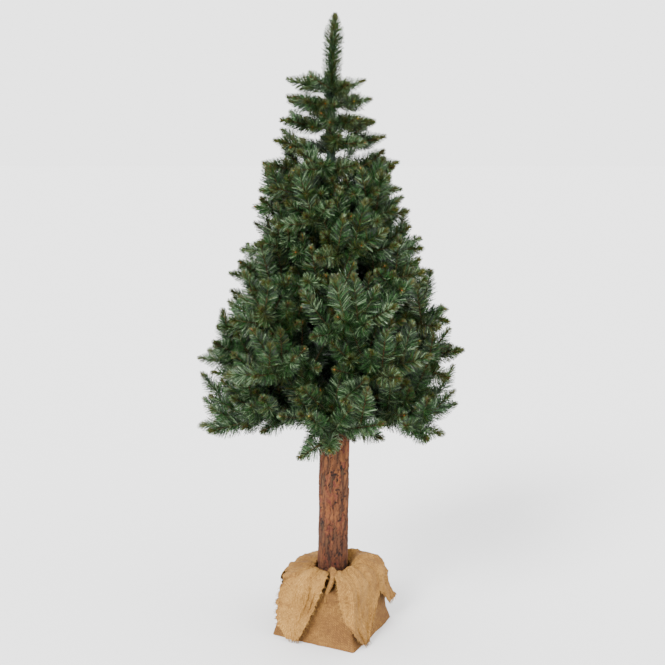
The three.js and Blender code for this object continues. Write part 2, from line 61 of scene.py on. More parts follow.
# Studio light, and for each of its two suns the strength, the place and the spread in degrees
WORLD_LIGHT = 3.0
SUNS = {"key": (6.2, (-2.6, -4.0, 3.6), 22), "fill": (1.8, (4.0, -3.0, 2.4), 60)}
FLOOR_HALF = 60.0

# Main sizes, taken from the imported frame
TREE_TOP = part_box("leading_shoot")[1].z / MM
LOG_Z = [corner.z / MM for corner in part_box("log_trunk")]
POLE_Z = [corner.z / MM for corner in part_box("pole")]
BLOCK_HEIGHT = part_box("stand_block")[1].z / MM
CLEARANCE = 0.3

# Pole, whose axis leans between two heights, and its tape
POLE_RADIUS = 13.0
POLE_LEAN_X = (5.0, -6.0)
POLE_LEAN_Z = (640.0, 1590.0)
POLE_RINGS = 400
POLE_SIDES = 28
TAPE_PITCH = 24.0
TAPE_STEP = 0.8

# Log and bark: plates as stretched cells with cracks between them, and small flakes on them
LOG_RADII = (43.2, 44.5)
LOG_LEAN = 7.0
BARK_SIDES = 168
BARK_RINGS = 260
BARK_CELLS = (23, 10)
FLAKE_CELLS = (44, 40)
BARK_DEPTH = 3.8
BARK_INSET = 2.2
CRACK_SHARE = 0.26
FLAKE_SHARE = 0.25
# Direction, share of the log's height, and size of each knot; and the log's radius and length
KNOTS = ((-1.9, 0.55, 9), (-0.9, 0.28, 7), (2.2, 0.7, 8), (0.6, 0.45, 7))
KNOT_SCALE = (44, 490)
KNOT_BULGE = 1.6
KNOT_HOLE = 2.0
# Share of the radius that is wood at the cut ends
CUT_WOOD_SHARE = 0.93
# Painted shade: the bark is darker below a height, against the light that falls more on the
# log's foot than on its top under the crown
PAINTED_FOOT_SHADE_Z = 480
PAINTED_FOOT_SHADE_FADE = 260

# Seeds of the numpy draws, and between which values most of a noise lies
SEEDS = {"log": 31, "wrap": 5, "flap": 40, "threads": 8, "fold": 21, "needles": 2026, "buds": 77}
NOISE_ENDS = (0.35, 0.65)
# How finely a smooth curve is drawn through its rows, and how much it rounds them
SMOOTH_STEPS = 24
SMOOTH_PULL = 0.38

# Jute cloth over the block: its foot rings and flaps, as in the part's source
BLOCK_SIDE = 228.0
BLOCK_TURN = radians(-26.2)
CLOTH_THICK = 4.0
WRAP_HALF = BLOCK_SIDE / 2 + CLOTH_THICK
CORNER_SHARE = 1.39
NECK_Z = 188.0
NECK_RADIUS = 54.0
NECK_PLEATS = 15
# Height, distance to the sides, and share of the way to the round neck
WRAP_RINGS = (
    (0, WRAP_HALF + 18, 0),
    (40, WRAP_HALF + 7.2, 0),
    (120, WRAP_HALF + 0.8, 0),
    (BLOCK_HEIGHT + 5, WRAP_HALF - 1, 0),
    (BLOCK_HEIGHT + 16, WRAP_HALF - 12, 0.3),
    (BLOCK_HEIGHT + 26, WRAP_HALF - 18, 0.62),
    (NECK_Z, WRAP_HALF, 0.98),
    (NECK_Z + 9, WRAP_HALF, 1),
)
WRAP_GRID = (76, 264)
WRAP_CLOTH_RADIUS = 135
FLAP_GRID = (112, 68)
HUMP_RADIUS = 78.0
FLAP_MIDDLE_Z = 120.0
FLAP_SAG = 9.0
# Hump, shoulder and how square it is, stand, fall, painted shading (a flap drawn lighter or
# darker by how light falls on it), and the directions of the first and the last edge at the seven
# rows of flap_surface
FLAPS = (
    (198, 114, 0.9, 1, 78, -0.04,
     (186, 180, 178, 182, 190, 200, 209), (246, 244, 240, 234, 230, 228, 226)),
    (206, 110, 0.5, 18, 6, 0.03,
     (222, 216, 212, 208, 206, 207, 219), (261, 262, 261, 256, 249, 239, 231)),
    (209, 108, 0.5, 14, 6, 0.0,
     (-92, -88, -86, -84, -82, -72, -58), (-12, -10, -10, -12, -14, -34, -50)),
    (216, 108, 0.5, 12, 66, -0.02,
     (-32, -26, -16, -8, -4, 0, 4), (62, 62, 64, 60, 48, 32, 14)),
    (192, 130, 0.5, 12, 50, -0.04,
     (100, 100, 104, 108, 118, 128, 140), (190, 190, 188, 184, 174, 164, 150)),
)
# Painted shade: the block's cloth and the rolled fold are darker than the flaps, as they lie in
# the flaps' shade
WRAP_PAINTED_SHADE = -0.10
FOLD_PAINTED_SHADE = -0.04
HUMP_FLAT = 196.0
# Noise closes on itself, and a flap doesn't: it takes this share of it
OPEN_SHARE = 0.98
# The rolled fold: its direction, and the distance and height of its path
FOLD_TURN = radians(-94)
FOLD_PATH = ((56, 192), (66, 203), (84, 206), (104, 194), (119, 172), (124, 150), (127, 128))
FOLD_GRID = (60, 28)
JUTE_PITCH = 0.0024
JUTE_COLORS = ((0.36, (0.085, 0.037, 0.0125)), (0.56, (0.235, 0.118, 0.026)),
               (0.80, (0.46, 0.285, 0.090)))
# Loose threads: how many at a side edge and at the lowest one and where they start, their
# lengths, and the steps and radii along each
SIDE_THREADS = (60, 0.12)
LOW_THREADS = (30, 0.0)
THREAD_LENGTHS = (2, 9)
THREAD_STEPS = np.array((-0.25, 0.0, 0.4, 0.75, 1.0))
THREAD_RADII = np.array((0.7, 0.7, 0.6, 0.5, 0.35))
THREAD_SIDES = 3

# Half width of the crown's outline, to the left and to the right, by height
CROWN_HEIGHTS = (600, 655, 740, 810, 865, 950, 1000, 1115, 1190, 1300, 1400, 1475, 1540, 1620, 1700)
CROWN_LEFT = (385, 398, 392, 404, 385, 357, 330, 286, 250, 224, 206, 160, 148, 134, 110)
CROWN_RIGHT = (330, 365, 400, 398, 382, 345, 326, 296, 254, 215, 190, 154, 126, 98, 95)

# Whorls of branches from the top down: height, branches, first direction, slope, side twigs, and
# the height and slope of the cone above
WHORLS = (
    (1584, 3, 178, 14, 1, (1640, 0.5)),
    (1536, 3, 118, 12, 2, (1563, 0.34)),
    (1486, 3, 183, 9, 3, (1514, 0.22)),
    (1428, 4, 8, 12, 4, (1460, 0.2)),
    (1362, 4, 172, 9, 5, (1396, 0.22)),
    (1290, 4, 218, 10, 6, (1327, 0.2)),
    (1208, 5, 180, 12, 6, (1250, 0.24)),
    (1118, 5, 216, 12, 7, (1164, 0.26)),
    (1020, 5, 184, 12, 7, (1070, 0.25)),
    (914, 5, 214, 9, 7, (968, 0.2)),
    (808, 6, 177, 3, 7, (862, 0.12)),
    (712, 6, 208, -9, 7, (756, 0.02)),
)
CROWN_FLOOR = (690, -0.16)
# Side of the stem, and turns to the side and up
TWIG_KINDS = (
    (1, (26, 54), (-18, 0)),
    (-1, (26, 54), (16, 42)),
    (1, (0, 16), (34, 60)),
    (-1, (26, 54), (-18, 4)),
    (1, (26, 54), (14, 40)),
    (-1, (0, 16), (24, 48)),
    (-1, (16, 44), (-12, 12)),
)
STEM_BEND = 0.00012
STEM_LONGEST = 1000.0
STEM_RISE_SPREAD = 2.0
STEM_Z_SPREAD = 9.0
STEM_BARE_SHARE = 0.66
FEW_BARE_SHARE = 0.15
FEW_TWIGS = 2
TWIG_BARE = 28.0
TWIG_BEND = 0.0004
TWIG_PLACES = (0.26, 0.72)
PLACE_SPREAD = 0.04
TWIG_LENGTHS = (0.85, 1)
TWIG_LONGEST = 200.0
TWIG_STEM_SHARE = 0.75
TWIG_SHORTEST = 85.0
ATTEMPTS = 8
WANTED_ROOM = 62.0
LEAST_ROOM = 40.0
ROOM_FROM = 60.0
ROOM_STEP = 20.0
WALL_GAP = 3.0
GROWTH_STEP = 10.0

# Needle colours, each two colours of noise along the needle
NEEDLE_COLORS = {
    # A dark green, which the inner sprays and the dark whorls also take as painted shade
    "needles_deep_and_shade": ((0.0028, 0.0095, 0.0021), (0.0066, 0.0205, 0.0046)),
    "needles_green": ((0.0105, 0.041, 0.008), (0.026, 0.087, 0.0185)),
    # Painted sheen: a pale grey-green that stands in for the glints of light on the needles
    "needles_painted_sheen": ((0.082, 0.143, 0.068), (0.225, 0.305, 0.175)),
    "needles_olive": ((0.028, 0.034, 0.004), (0.060, 0.062, 0.009)),
}
# Kinds of spray: the share of the first twigs, and of each needle colour in them. The last three
# are for sprays deep in the crown, nearly all dark as painted shade, for finer twigs and for the
# top.
SPRAY_KINDS = (
    (0.30, (0.38, 0.40, 0.14, 0.08)),
    (0.30, (0.31, 0.38, 0.20, 0.11)),
    (0.20, (0.28, 0.29, 0.31, 0.12)),
    (0.20, (0.27, 0.20, 0.15, 0.38)),
    (0.00, (0.93, 0.07, 0.0, 0.0)),
    (0.00, (0.40, 0.38, 0.13, 0.09)),
    (0.00, (0.36, 0.26, 0.05, 0.33)),
)
DROOPING_KIND, OLIVE_KIND, INNER_SHADE_KIND, FINE_KIND, LEADER_KIND = 1, 3, 4, 5, 6
# Above a height so many of the first twigs are olive
OLIVE_FROM = 1360.0
OLIVE_SHARE = 0.45
# A spray is deep in the crown by the place of its outer part, below a height, and then takes
# the inner kind's painted shade
OUTER_PART = 0.8
INNER_SHARE = 0.6
INNER_BELOW = 1480.0

# Finer twigs fork from the first ones in the room they leave. They may rise past their branch's
# own cone, by so much in each whorl from the top down, and by the last value in the others. The
# lowest whorl's keep above its floor.
FINE_SEED = 70000
FINE_SHORTEST = 95.0
FINE_LONGEST = 190.0
FINE_LENGTHS = (0.75, 1)
FINE_ROOM_FROM = 50.0
FINE_WANTED = 48.0
FINE_STEEPEST = radians(74)
FINE_TWIG_PLACES = (0.12, 0.6)
FINE_TWIG = dict(bare=12.0, reach=35.0, kind=FINE_KIND)
FINE_ROOF_RISE = (5.0, 24.0, 42.0, 50.0, 56.0, 60.0, 98.0)
LOWEST_RISE = 26.0
# Twigs from the stem and from each side twig, places along the stem, directions to the side and
# up, the share of the crown they reach, and the least room between them, for the three highest
# whorls, the next two, one, three, two, and the lowest
FINE_RULES = (
    *3 * ((5, 1, (0.02, 0.4), (15, 80), (-14, 16), (0.8, 1.0), 26.0),),
    *2 * ((3, 1, (0.05, 0.5), (12, 60), (-8, 24), (0.66, 0.90), 28.0),),
    (5, 2, (0.05, 0.6), (12, 60), (-10, 30), (0.70, 0.93), 28.0),
    *3 * ((7, 3, (0.2, 0.9), (8, 60), (32, 70), (0.72, 0.96), 31.0),),
    *2 * ((13, 5, (0.2, 0.95), (8, 65), (10, 70), (0.74, 0.98), 28.0),),
    (14, 5, (0.2, 0.9), (8, 55), (4, 56), (0.74, 0.98), 24.0),
)
# Twigs of the highest whorls are bare for a smaller share, and lower ones have longer needles
HIGH_WHORLS = 5
HIGH_BARE_SHARE = 0.4
LOW_FROM_WHORL = 6
LOW_REACH = 36.0
MAIN_PER_WHORL = 16

# Inner sprays beside the pole, for each stem from one whorl down, dark with painted shade
INNER_SEED = 90000
INNER_FROM_WHORL = 5
INNER_SIDES = (-1, 1)
INNER_RISE = 50.0
INNER_START = 8
INNER_STEM_SHARE = 0.3
INNER_YAW = (5, 75)
INNER_PITCH = (-35, 70)
INNER_LENGTHS = (80, 130)
INNER_SHORTEST = 45
INNER_SPRAY = dict(bare=4.0, reach=36.0, whorl=12, kind=INNER_SHADE_KIND)
# Sprays all along the pole, below the open top, dark with painted shade
POLE_SPRAYS = 72
POLE_SPRAYS_Z = (668.0, 1300.0)
SPRAY_START = 11
SPRAY_TURN = 2.4
SPRAY_SPREAD = 0.3
SPRAY_PITCH = (0, 50)
SPRAY_LENGTHS = (100, 150)
SPRAY_SHARE = 0.62
POLE_SPRAY = dict(reach=38.0, whorl=12, kind=INNER_SHADE_KIND)
# Short needles on the pole's open top
POLE_NEEDLES_Z = (1320.0, 1600.0)
POLE_NEEDLES = dict(reach=32.0, taper=1.0, step=5.0, whorl=12, kind=FINE_KIND)
# The top spray, whose needles start so far down the pole
LEADER_DOWN = 46.0
LEADER_TOP_X = 7.0
LEADER = dict(reach=32.5, taper=56.0, step=2.4, whorl=18, kind=LEADER_KIND)
# The two sprays that hang in front of the log: height of the foot, and the tip
DROOPING_SPRAYS = ((652.0, (-93.0, -112.0, 550.0)), (652.0, (66.0, -112.0, 604.0)))
DROOPING = dict(reach=37.0, taper=80.0, step=3.0, whorl=20, kind=DROOPING_KIND)
# The stems' own needles near the pole, above a height and below it
STEM_LEAST = 60.0
HIGH_STEM_Z = 1410.0
HIGH_STEM = dict(bare=0.0, reach=34.0, whorl=15, taper=1.0)
LOW_STEM = dict(bare=0.0, reach=42.0, whorl=11, taper=1.0)

# Needles stand in small whorls along a twig
NEEDLE_REACH = 34.0
WHORL_STEP = 3.7
PER_WHORL = 13
NEEDLE_WIDTH = 1.7
NEEDLE_WIDTHS = (0.8, 1.2)
NEEDLE_TIP_SHARE = 0.62
NEEDLE_LENGTHS = (0.86, 1.06)
NEEDLE_AT_TIP = 0.38
NEEDLE_GROWTH = 0.7
NEEDLE_TWIST = 0.6
ALONG_SPREAD = 0.5
AROUND_SPREAD = 0.2
ANGLE_SPREAD = 4
LANCE_TAPER = 60.0
LANCE_ANGLES = (17.0, 56.0)
TIP_ROOM = 13.0
# They are short where a twig's bare foot ends, and towards the crown's top
FOOT_TAPER = 30.0
FOOT_ROOM = 10
FOOT_SHARE = 0.4
HIGH_SPRAYS = (1150.0, 1500.0)
HIGH_REACH = 32.0
# Most needles of a whorl have one colour, half of every other whorl are dark as painted shade
# between the whorls with painted sheen, and tips are olive
WHORL_SHARE = 0.6
DARK_WHORLS = 0.5
TIP_COLOR_LENGTH = 20.0
TIP_COLOR_SHARE = 0.55
PIECE_TRIANGLES = 190000

# A twig's brown core, and the steps and radii of the cut tip that ends it
CORE_RADII = (2.4, 1.5)
CORE_RINGS = 5
CORE_SIDES = 4
CORE_MORE = 3
BUD_STEPS = np.array((-2, 2.5, 6))
BUD_RADII = np.array((1.5, 2.0, 0.7))
BUD_SIDES = 5
# Share of the tips, and two colours of noise
BUD_COLORS = {
    "tip_buds_orange": (0.14, (0.20, 0.065, 0.014), (0.32, 0.12, 0.03)),
    "tip_buds_yellow": (0.08, (0.22, 0.15, 0.02), (0.34, 0.25, 0.045)),
    "tip_buds_brown": (0.78, (0.040, 0.018, 0.007), (0.09, 0.04, 0.015)),
}

MASK = 0xFFFFFFFF


def imul(a, b):
    return (a * b) & MASK


def seeded_draws(seed):
    """Draws the same numbers as the part's source, between two values."""
    state = seed & MASK

    def draw(low, high):
        nonlocal state
        state = (state + 0x6D2B79F5) & MASK
        t = imul(state ^ (state >> 15), state | 1)
        t = (t ^ (t + imul(t ^ (t >> 7), t | 61))) & MASK
        return low + (high - low) * (((t ^ (t >> 14)) & MASK) / (MASK + 1))

    return draw


def lerp(a, b, share):
    return a + (b - a) * share


def pole_x(z):
    low, high = POLE_LEAN_Z
    return lerp(*POLE_LEAN_X, (z - low) / (high - low))


def crown_reach(angle, z):
    left = float(np.interp(z, CROWN_HEIGHTS, CROWN_LEFT))
    right = float(np.interp(z, CROWN_HEIGHTS, CROWN_RIGHT))
    return (left + right) / 2 + (right - left) / 2 * cos(angle)


def direction(angle, rise):
    return (cos(angle) * cos(rise), sin(angle) * cos(rise), sin(rise))


@dataclass
class Space:
    """The wedge in which a branch grows: between two walls, and between two cones, each with the
    height at the axis and the slope."""
    pole_x: float
    angle: float
    half: float
    floor: tuple
    roof: tuple
    share: float = 1.0

    def stretched(self, roof_rise, floor_rise, share=1.0):
        """The wedge with its cones moved up, and with a share of the crown's reach."""
        (roof, roof_slope), (floor, floor_slope) = self.roof, self.floor
        return replace(self, roof=(roof + roof_rise, roof_slope),
                       floor=(floor + floor_rise, floor_slope), share=share)

    def holds(self, point):
        """Whether a point is in the wedge, clear of the pole and inside the crown."""
        x, y, z = point[0] - self.pole_x, point[1], point[2]
        out_x, out_y = cos(self.angle), sin(self.angle)
        to_wall = ((x * out_x + y * out_y) * sin(self.half)
                   - abs(-x * out_y + y * out_x) * cos(self.half))
        radius = hypot(point[0], y)
        (floor, floor_slope), (roof, roof_slope) = self.floor, self.roof
        return (to_wall > WALL_GAP and hypot(x, y) > POLE_RADIUS + WALL_GAP
                and floor + floor_slope * radius + WALL_GAP < z
                and z < roof + roof_slope * radius - WALL_GAP
                and radius < crown_reach(atan2(y, point[0]), z) * self.share)


@dataclass
class Twig:
    """A twig's curved axis, and how its needles stand."""
    start: tuple
    direction: tuple
    space: Space = None
    length: float = 0.0
    room: float = 0.0
    bend: float = 0.0
    bare: float = 0.0
    reach: float = NEEDLE_REACH
    whorl: int = PER_WHORL
    step: float = WHORL_STEP
    taper: float = LANCE_TAPER
    kind: int = None


def axis_point(twig, distance):
    x, y, z = twig.start
    dx, dy, dz = twig.direction
    return (x + dx * distance, y + dy * distance, z + dz * distance + twig.bend * distance ** 2)


def axis_points(twig, distances):
    points = np.array(twig.start) + np.outer(distances, twig.direction)
    points[:, 2] += twig.bend * distances ** 2
    return points


def free_length(twig, wanted):
    """How far a twig can grow before its axis leaves its space or the crown."""
    length = 0.0
    while length < wanted:
        if length >= twig.bare and not twig.space.holds(axis_point(twig, length + GROWTH_STEP)):
            break
        length += GROWTH_STEP
    spare = GROWTH_STEP
    while spare > 1:
        spare /= 2
        if length < wanted and twig.space.holds(axis_point(twig, length + spare)):
            length += spare
    return length


def room_samples(twig, first):
    """Points along a twig's axis, from first on, by which the room beside it is measured."""
    count = int((twig.length - first) // ROOM_STEP) + 1
    return axis_points(twig, first + ROOM_STEP * np.arange(max(count, 0)))


def measured(twig, wanted, samples, room_from, wanted_room):
    """A twig with its length and with the room between it and the samples of others."""
    twig.length = free_length(twig, wanted)
    points = room_samples(twig, room_from)
    twig.room = wanted_room
    if len(points) and len(samples):
        gaps = points[:, None, :] - samples[None, :, :]
        twig.room = min(wanted_room, float(np.sqrt((gaps ** 2).sum(axis=2).min())))
    return twig


def add_best(twigs, tries, samples, shortest, least_room):
    """Adds the try with the most length and room, if it has enough of both."""
    best = max(tries, key=lambda twig: twig.length * twig.room)
    if best.length >= shortest and best.room >= least_room:
        twigs.append(best)
        samples = np.vstack([samples, room_samples(best, best.bare)])
    return samples


def heading_of(twig):
    return atan2(twig.direction[1], twig.direction[0])


def grow_branch(whorl, space, seed):
    """The stem and side twigs of one branch, by the part's own rule."""
    height, _, _, slope, count, _ = whorl
    draw = seeded_draws(seed)
    rise = radians(slope + draw(-STEM_RISE_SPREAD, STEM_RISE_SPREAD))
    foot = POLE_RADIUS + CLEARANCE
    start = (space.pole_x + foot * cos(space.angle), foot * sin(space.angle),
             height + draw(-STEM_Z_SPREAD, STEM_Z_SPREAD))
    stem = Twig(start, direction(space.angle, rise), space, bend=STEM_BEND)
    stem.length = free_length(stem, STEM_LONGEST)
    stem.bare = stem.length * (STEM_BARE_SHARE if count > FEW_TWIGS else FEW_BARE_SHARE)
    twigs = [stem]
    samples = room_samples(stem, stem.bare)
    longest = min(TWIG_LONGEST, TWIG_STEM_SHARE * stem.length)
    for i in range(count):
        side, yaws, pitches = TWIG_KINDS[i % len(TWIG_KINDS)]
        place = lerp(*TWIG_PLACES, (i + 0.5) / count)
        tries = []
        for _ in range(ATTEMPTS):
            yaw = side * radians(draw(*yaws))
            pitch = rise + radians(draw(*pitches))
            share = place + draw(-PLACE_SPREAD, PLACE_SPREAD)
            twig = Twig(axis_point(stem, stem.length * share), direction(space.angle + yaw, pitch),
                        space, bend=draw(0, TWIG_BEND), bare=TWIG_BARE)
            # The source draws the turn of the twig's solid here
            draw(0, 2)
            wanted = draw(*TWIG_LENGTHS) * longest
            tries.append(measured(twig, wanted, samples, ROOM_FROM, WANTED_ROOM))
        samples = add_best(twigs, tries, samples, TWIG_SHORTEST, LEAST_ROOM)
    return twigs, samples


def grow_fine_twigs(twigs, samples, seed, rule, roof_rise, floor_rise):
    """Finer twigs that fork from the stem and the side twigs, in the room that these leave."""
    per_stem, per_twig, stem_places, yaws, pitches, shares, least_room = rule
    draw = seeded_draws(seed)
    fine = []
    for parent in twigs:
        count, places = per_twig, FINE_TWIG_PLACES
        if parent is twigs[0]:
            count, places = per_stem, stem_places
        rise = asin(parent.direction[2])
        for i in range(count):
            side = 1 if (i + len(fine)) % 2 else -1
            space = parent.space.stretched(roof_rise, floor_rise, draw(*shares))
            tries = []
            for _ in range(ATTEMPTS):
                start = axis_point(parent, parent.length * draw(*places))
                yaw = side * radians(draw(*yaws))
                pitch = min(rise + radians(draw(*pitches)), FINE_STEEPEST)
                twig = Twig(start, direction(heading_of(parent) + yaw, pitch), space,
                            bend=draw(0, TWIG_BEND), **FINE_TWIG)
                wanted = draw(*FINE_LENGTHS) * FINE_LONGEST
                tries.append(measured(twig, wanted, samples, FINE_ROOM_FROM, FINE_WANTED))
            samples = add_best(fine, tries, samples, FINE_SHORTEST, least_room)
    return fine


def grow_inner_twigs(stem, seed):
    """Short sprays beside the pole, dark with painted shade, which close the view through the
    crown.
    """
    draw = seeded_draws(seed)
    space = stem.space.stretched(INNER_RISE, -INNER_RISE)
    twigs = []
    for side in INNER_SIDES:
        start = axis_point(stem, draw(INNER_START, INNER_STEM_SHARE * stem.length))
        yaw = side * radians(draw(*INNER_YAW))
        pitch = radians(draw(*INNER_PITCH))
        twig = Twig(start, direction(heading_of(stem) + yaw, pitch), space, **INNER_SPRAY)
        twig.length = free_length(twig, draw(*INNER_LENGTHS))
        if twig.length > INNER_SHORTEST:
            twigs.append(twig)
    return twigs


def grow_pole_sprays():
    """Sprays that leave the pole all round, dark with painted shade, and close the view through the
    crown.
    """
    draw = seeded_draws(INNER_SEED)
    sprays = []
    for i in range(POLE_SPRAYS):
        z = lerp(*POLE_SPRAYS_Z, i / (POLE_SPRAYS - 1))
        angle = SPRAY_TURN * i + draw(-SPRAY_SPREAD, SPRAY_SPREAD)
        start = (pole_x(z) + SPRAY_START * cos(angle), SPRAY_START * sin(angle), z)
        pitch = radians(draw(*SPRAY_PITCH))
        length = min(draw(*SPRAY_LENGTHS), SPRAY_SHARE * crown_reach(angle, z))
        sprays.append(Twig(start, direction(angle, pitch), length=length, **POLE_SPRAY))
    return sprays


def grow_crown():
    """All stems and needled twigs of the crown: (stems, twigs)."""
    stems, twigs = [], []
    for level, whorl in enumerate(WHORLS):
        height, branches, turn, _, _, roof = whorl
        lowest = level == len(WHORLS) - 1
        floor = CROWN_FLOOR if lowest else WHORLS[level + 1][5]
        roof_rise = FINE_ROOF_RISE[min(level, len(FINE_ROOF_RISE) - 1)]
        for i in range(branches):
            space = Space(pole_x(height), radians(turn + 360 / branches * i),
                          pi / branches, floor, roof)
            seed = 1000 * (level + 1) + i
            grown, samples = grow_branch(whorl, space, seed)
            twigs += grown + grow_fine_twigs(grown, samples, FINE_SEED + seed, FINE_RULES[level],
                                             roof_rise, LOWEST_RISE if lowest else 0.0)
            if level >= INNER_FROM_WHORL:
                twigs += grow_inner_twigs(grown[0], INNER_SEED + seed)
            for twig in grown:
                twig.whorl = MAIN_PER_WHORL
                if level < HIGH_WHORLS:
                    twig.bare *= HIGH_BARE_SHARE
                if level >= LOW_FROM_WHORL:
                    twig.reach = LOW_REACH
            stems.append(grown[0])
    return stems, twigs + grow_pole_sprays()


def unit(vectors):
    return vectors / np.linalg.norm(vectors, axis=-1, keepdims=True)


def twig_frame(twig, distances):
    """Points, tangents and two normals along a twig's axis."""
    points = axis_points(twig, distances)
    tangents = np.tile(np.array(twig.direction), (len(distances), 1))
    tangents[:, 2] += 2 * twig.bend * distances
    tangents = unit(tangents)
    up = np.array((0.0, 0.0, 1.0))
    if abs(twig.direction[2]) > 0.97:
        up = np.array((0.0, -1.0, 0.0))
    sideways = unit(np.cross(up, tangents))
    upwards = np.cross(tangents, sideways)
    return points, tangents, sideways, upwards


def needle_points(twig, rng):
    """Four points for each needle of a twig, two at its foot and two at its tip, and how far its
    foot is from the twig's tip."""
    core = twig.length - TIP_ROOM
    first = twig.bare
    stations = np.arange(first, core, twig.step)
    whorl = twig.whorl
    distances = np.repeat(stations, whorl) + rng.normal(0, ALONG_SPREAD, len(stations) * whorl)
    count = len(distances)
    points, tangents, sideways, upwards = twig_frame(twig, distances)
    turns = np.repeat(rng.uniform(0, 2 * pi, len(stations)), whorl)
    around = turns + np.tile(2 * pi * np.arange(whorl) / whorl, len(stations))
    around += rng.normal(0, AROUND_SPREAD, count)
    outwards = np.cos(around)[:, None] * sideways + np.sin(around)[:, None] * upwards
    to_tip = np.clip(core - distances, 0, None)
    # Needles stand out along the twig and close up over its tip
    closing = np.clip(to_tip / twig.taper, 0, 1)
    angle = np.radians(lerp(*LANCE_ANGLES, closing ** 0.5) + rng.normal(0, ANGLE_SPREAD, count))
    reach = twig.reach
    if twig.space:
        height = float(np.interp(twig.start[2], HIGH_SPRAYS, (0, 1)))
        reach = lerp(reach, min(reach, HIGH_REACH), height)
    opening = np.clip((distances - first + FOOT_ROOM) / FOOT_TAPER, FOOT_SHARE, 1)
    length = reach * (NEEDLE_AT_TIP + NEEDLE_GROWTH * closing) * opening
    length *= rng.uniform(*NEEDLE_LENGTHS, count)
    heading = unit(np.cos(angle)[:, None] * tangents + np.sin(angle)[:, None] * outwards)
    across = unit(np.cross(heading, tangents) + 1e-6)
    raised = np.cross(heading, across)
    # Needles are strips of film, a little twisted and narrower at the tip
    twist = rng.uniform(0, pi, count)
    half = NEEDLE_WIDTH / 2 * rng.uniform(*NEEDLE_WIDTHS, count)[:, None]
    tip_twist = twist + rng.normal(0, NEEDLE_TWIST, count)
    corners = []
    for turn, place, share in ((twist, 0, 1), (tip_twist, 1, NEEDLE_TIP_SHARE)):
        flat = np.cos(turn)[:, None] * across + np.sin(turn)[:, None] * raised
        centre = points + heading * (place * length)[:, None]
        corners += [centre - flat * half * share, centre + flat * half * share]
    return np.stack(corners, axis=1), to_tip


def stem_needles(stem):
    """The stem's own inner stretch, which carries shorter needles from the pole outwards."""
    look = HIGH_STEM if stem.start[2] > HIGH_STEM_Z else LOW_STEM
    return replace(stem, length=max(stem.bare, STEM_LEAST) + TIP_ROOM, **look)


def add_object(name, data):
    made = bpy.data.objects.new(name, data)
    bpy.context.scene.collection.objects.link(made)
    return made


def add_piece(name, slot, points, triangles, look, *nodes, smooth=True):
    """A piece from arrays, points in millimetres, with its look and what it replaces; its slot is
    not used.
    """
    mesh = bpy.data.meshes.new(name)
    mesh.vertices.add(len(points))
    mesh.vertices.foreach_set("co", np.asarray(points * MM, np.float32).ravel())
    mesh.loops.add(3 * len(triangles))
    mesh.loops.foreach_set("vertex_index", np.asarray(triangles, np.int32).ravel())
    mesh.polygons.add(len(triangles))
    mesh.polygons.foreach_set("loop_start", np.arange(0, 3 * len(triangles), 3, dtype=np.int32))
    mesh.polygons.foreach_set("use_smooth", np.full(len(triangles), smooth))
    mesh.update(calc_edges=True)
    mesh.materials.append(look.material)
    piece = add_object(name, mesh)
    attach(piece, "root")
    if nodes:
        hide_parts(*nodes)
    return piece


class Look:
    """A material with its shader, and short ways to make and link its nodes."""

    def __init__(self, name, color, roughness, specular=0.5):
        self.material = bpy.data.materials.new(name)
        self.material.use_nodes = True
        self.tree = self.material.node_tree
        self.shader = self.tree.nodes["Principled BSDF"]
        self.feed(self.shader, {"Base Color": (*color, 1), "Roughness": roughness,
                                "Specular IOR Level": specular})

    def feed(self, node, inputs):
        """Gives a node's inputs their values, or links them to other nodes' outputs."""
        for name, value in inputs.items():
            if isinstance(value, bpy.types.NodeSocket):
                self.tree.links.new(value, node.inputs[name])
            else:
                node.inputs[name].default_value = value

    def node(self, kind, output, inputs=None, **settings):
        """The output of a new node."""
        made = self.tree.nodes.new("ShaderNode" + kind)
        for name, value in settings.items():
            setattr(made, name, value)
        self.feed(made, inputs or {})
        return made.outputs[output]

    def attribute(self, name):
        return self.node("Attribute", "Fac", attribute_name=name)

    def math(self, operation, *values):
        return self.node("Math", "Value", dict(enumerate(values)), operation=operation)

    def noise(self, scale, detail, stretch=None, place=None):
        """Noise in the object's space, or at another place, which may be stretched."""
        if place is None:
            place = self.node("TexCoord", "Object")
        if stretch is not None:
            place = self.node("Mapping", "Vector", {"Vector": place, "Scale": stretch})
        return self.node("TexNoise", "Fac", {"Vector": place, "Scale": scale, "Detail": detail})

    def ramp(self, factor, *stops):
        output = self.node("ValToRGB", "Color", {"Fac": factor})
        elements = output.node.color_ramp.elements
        for place, _ in stops[2:]:
            elements.new(place)
        for element, (place, color) in zip(elements, stops):
            element.position = place
            element.color = (*color, 1)
        return output

    def mixed(self, factor, first, second, blend="MIX"):
        return self.node("Mix", "Result", {"Factor": factor, "A": first, "B": second},
                         data_type="RGBA", blend_type=blend)

    def color(self, output):
        self.feed(self.shader, {"Base Color": output})

    def bump(self, height, strength, distance):
        normal = self.node("Bump", "Normal",
                           {"Height": height, "Strength": strength, "Distance": distance})
        self.feed(self.shader, {"Normal": normal})

    def tint(self, low, high, scale, detail=3.0, stretch=(1, 1, 1)):
        """Varies the base colour between two colours by a noise in the object's space."""
        noise = self.noise(scale, detail, stretch)
        self.color(self.ramp(noise, *zip(NOISE_ENDS, (low, high))))
        return noise


def grid_faces(rows, columns, closed=False):
    across = np.arange(columns if closed else columns - 1)
    following = (across + 1) % columns
    base = columns * np.arange(rows - 1)[:, None]
    a, b = base + across, base + following
    c, d = b + columns, a + columns
    return np.stack([a, b, c, a, c, d], axis=-1).reshape(-1, 3)


def fan(middle, first, second):
    """Triangles from one point to the points of a ring."""
    return np.stack([np.full(len(first), middle), first, second], axis=-1)


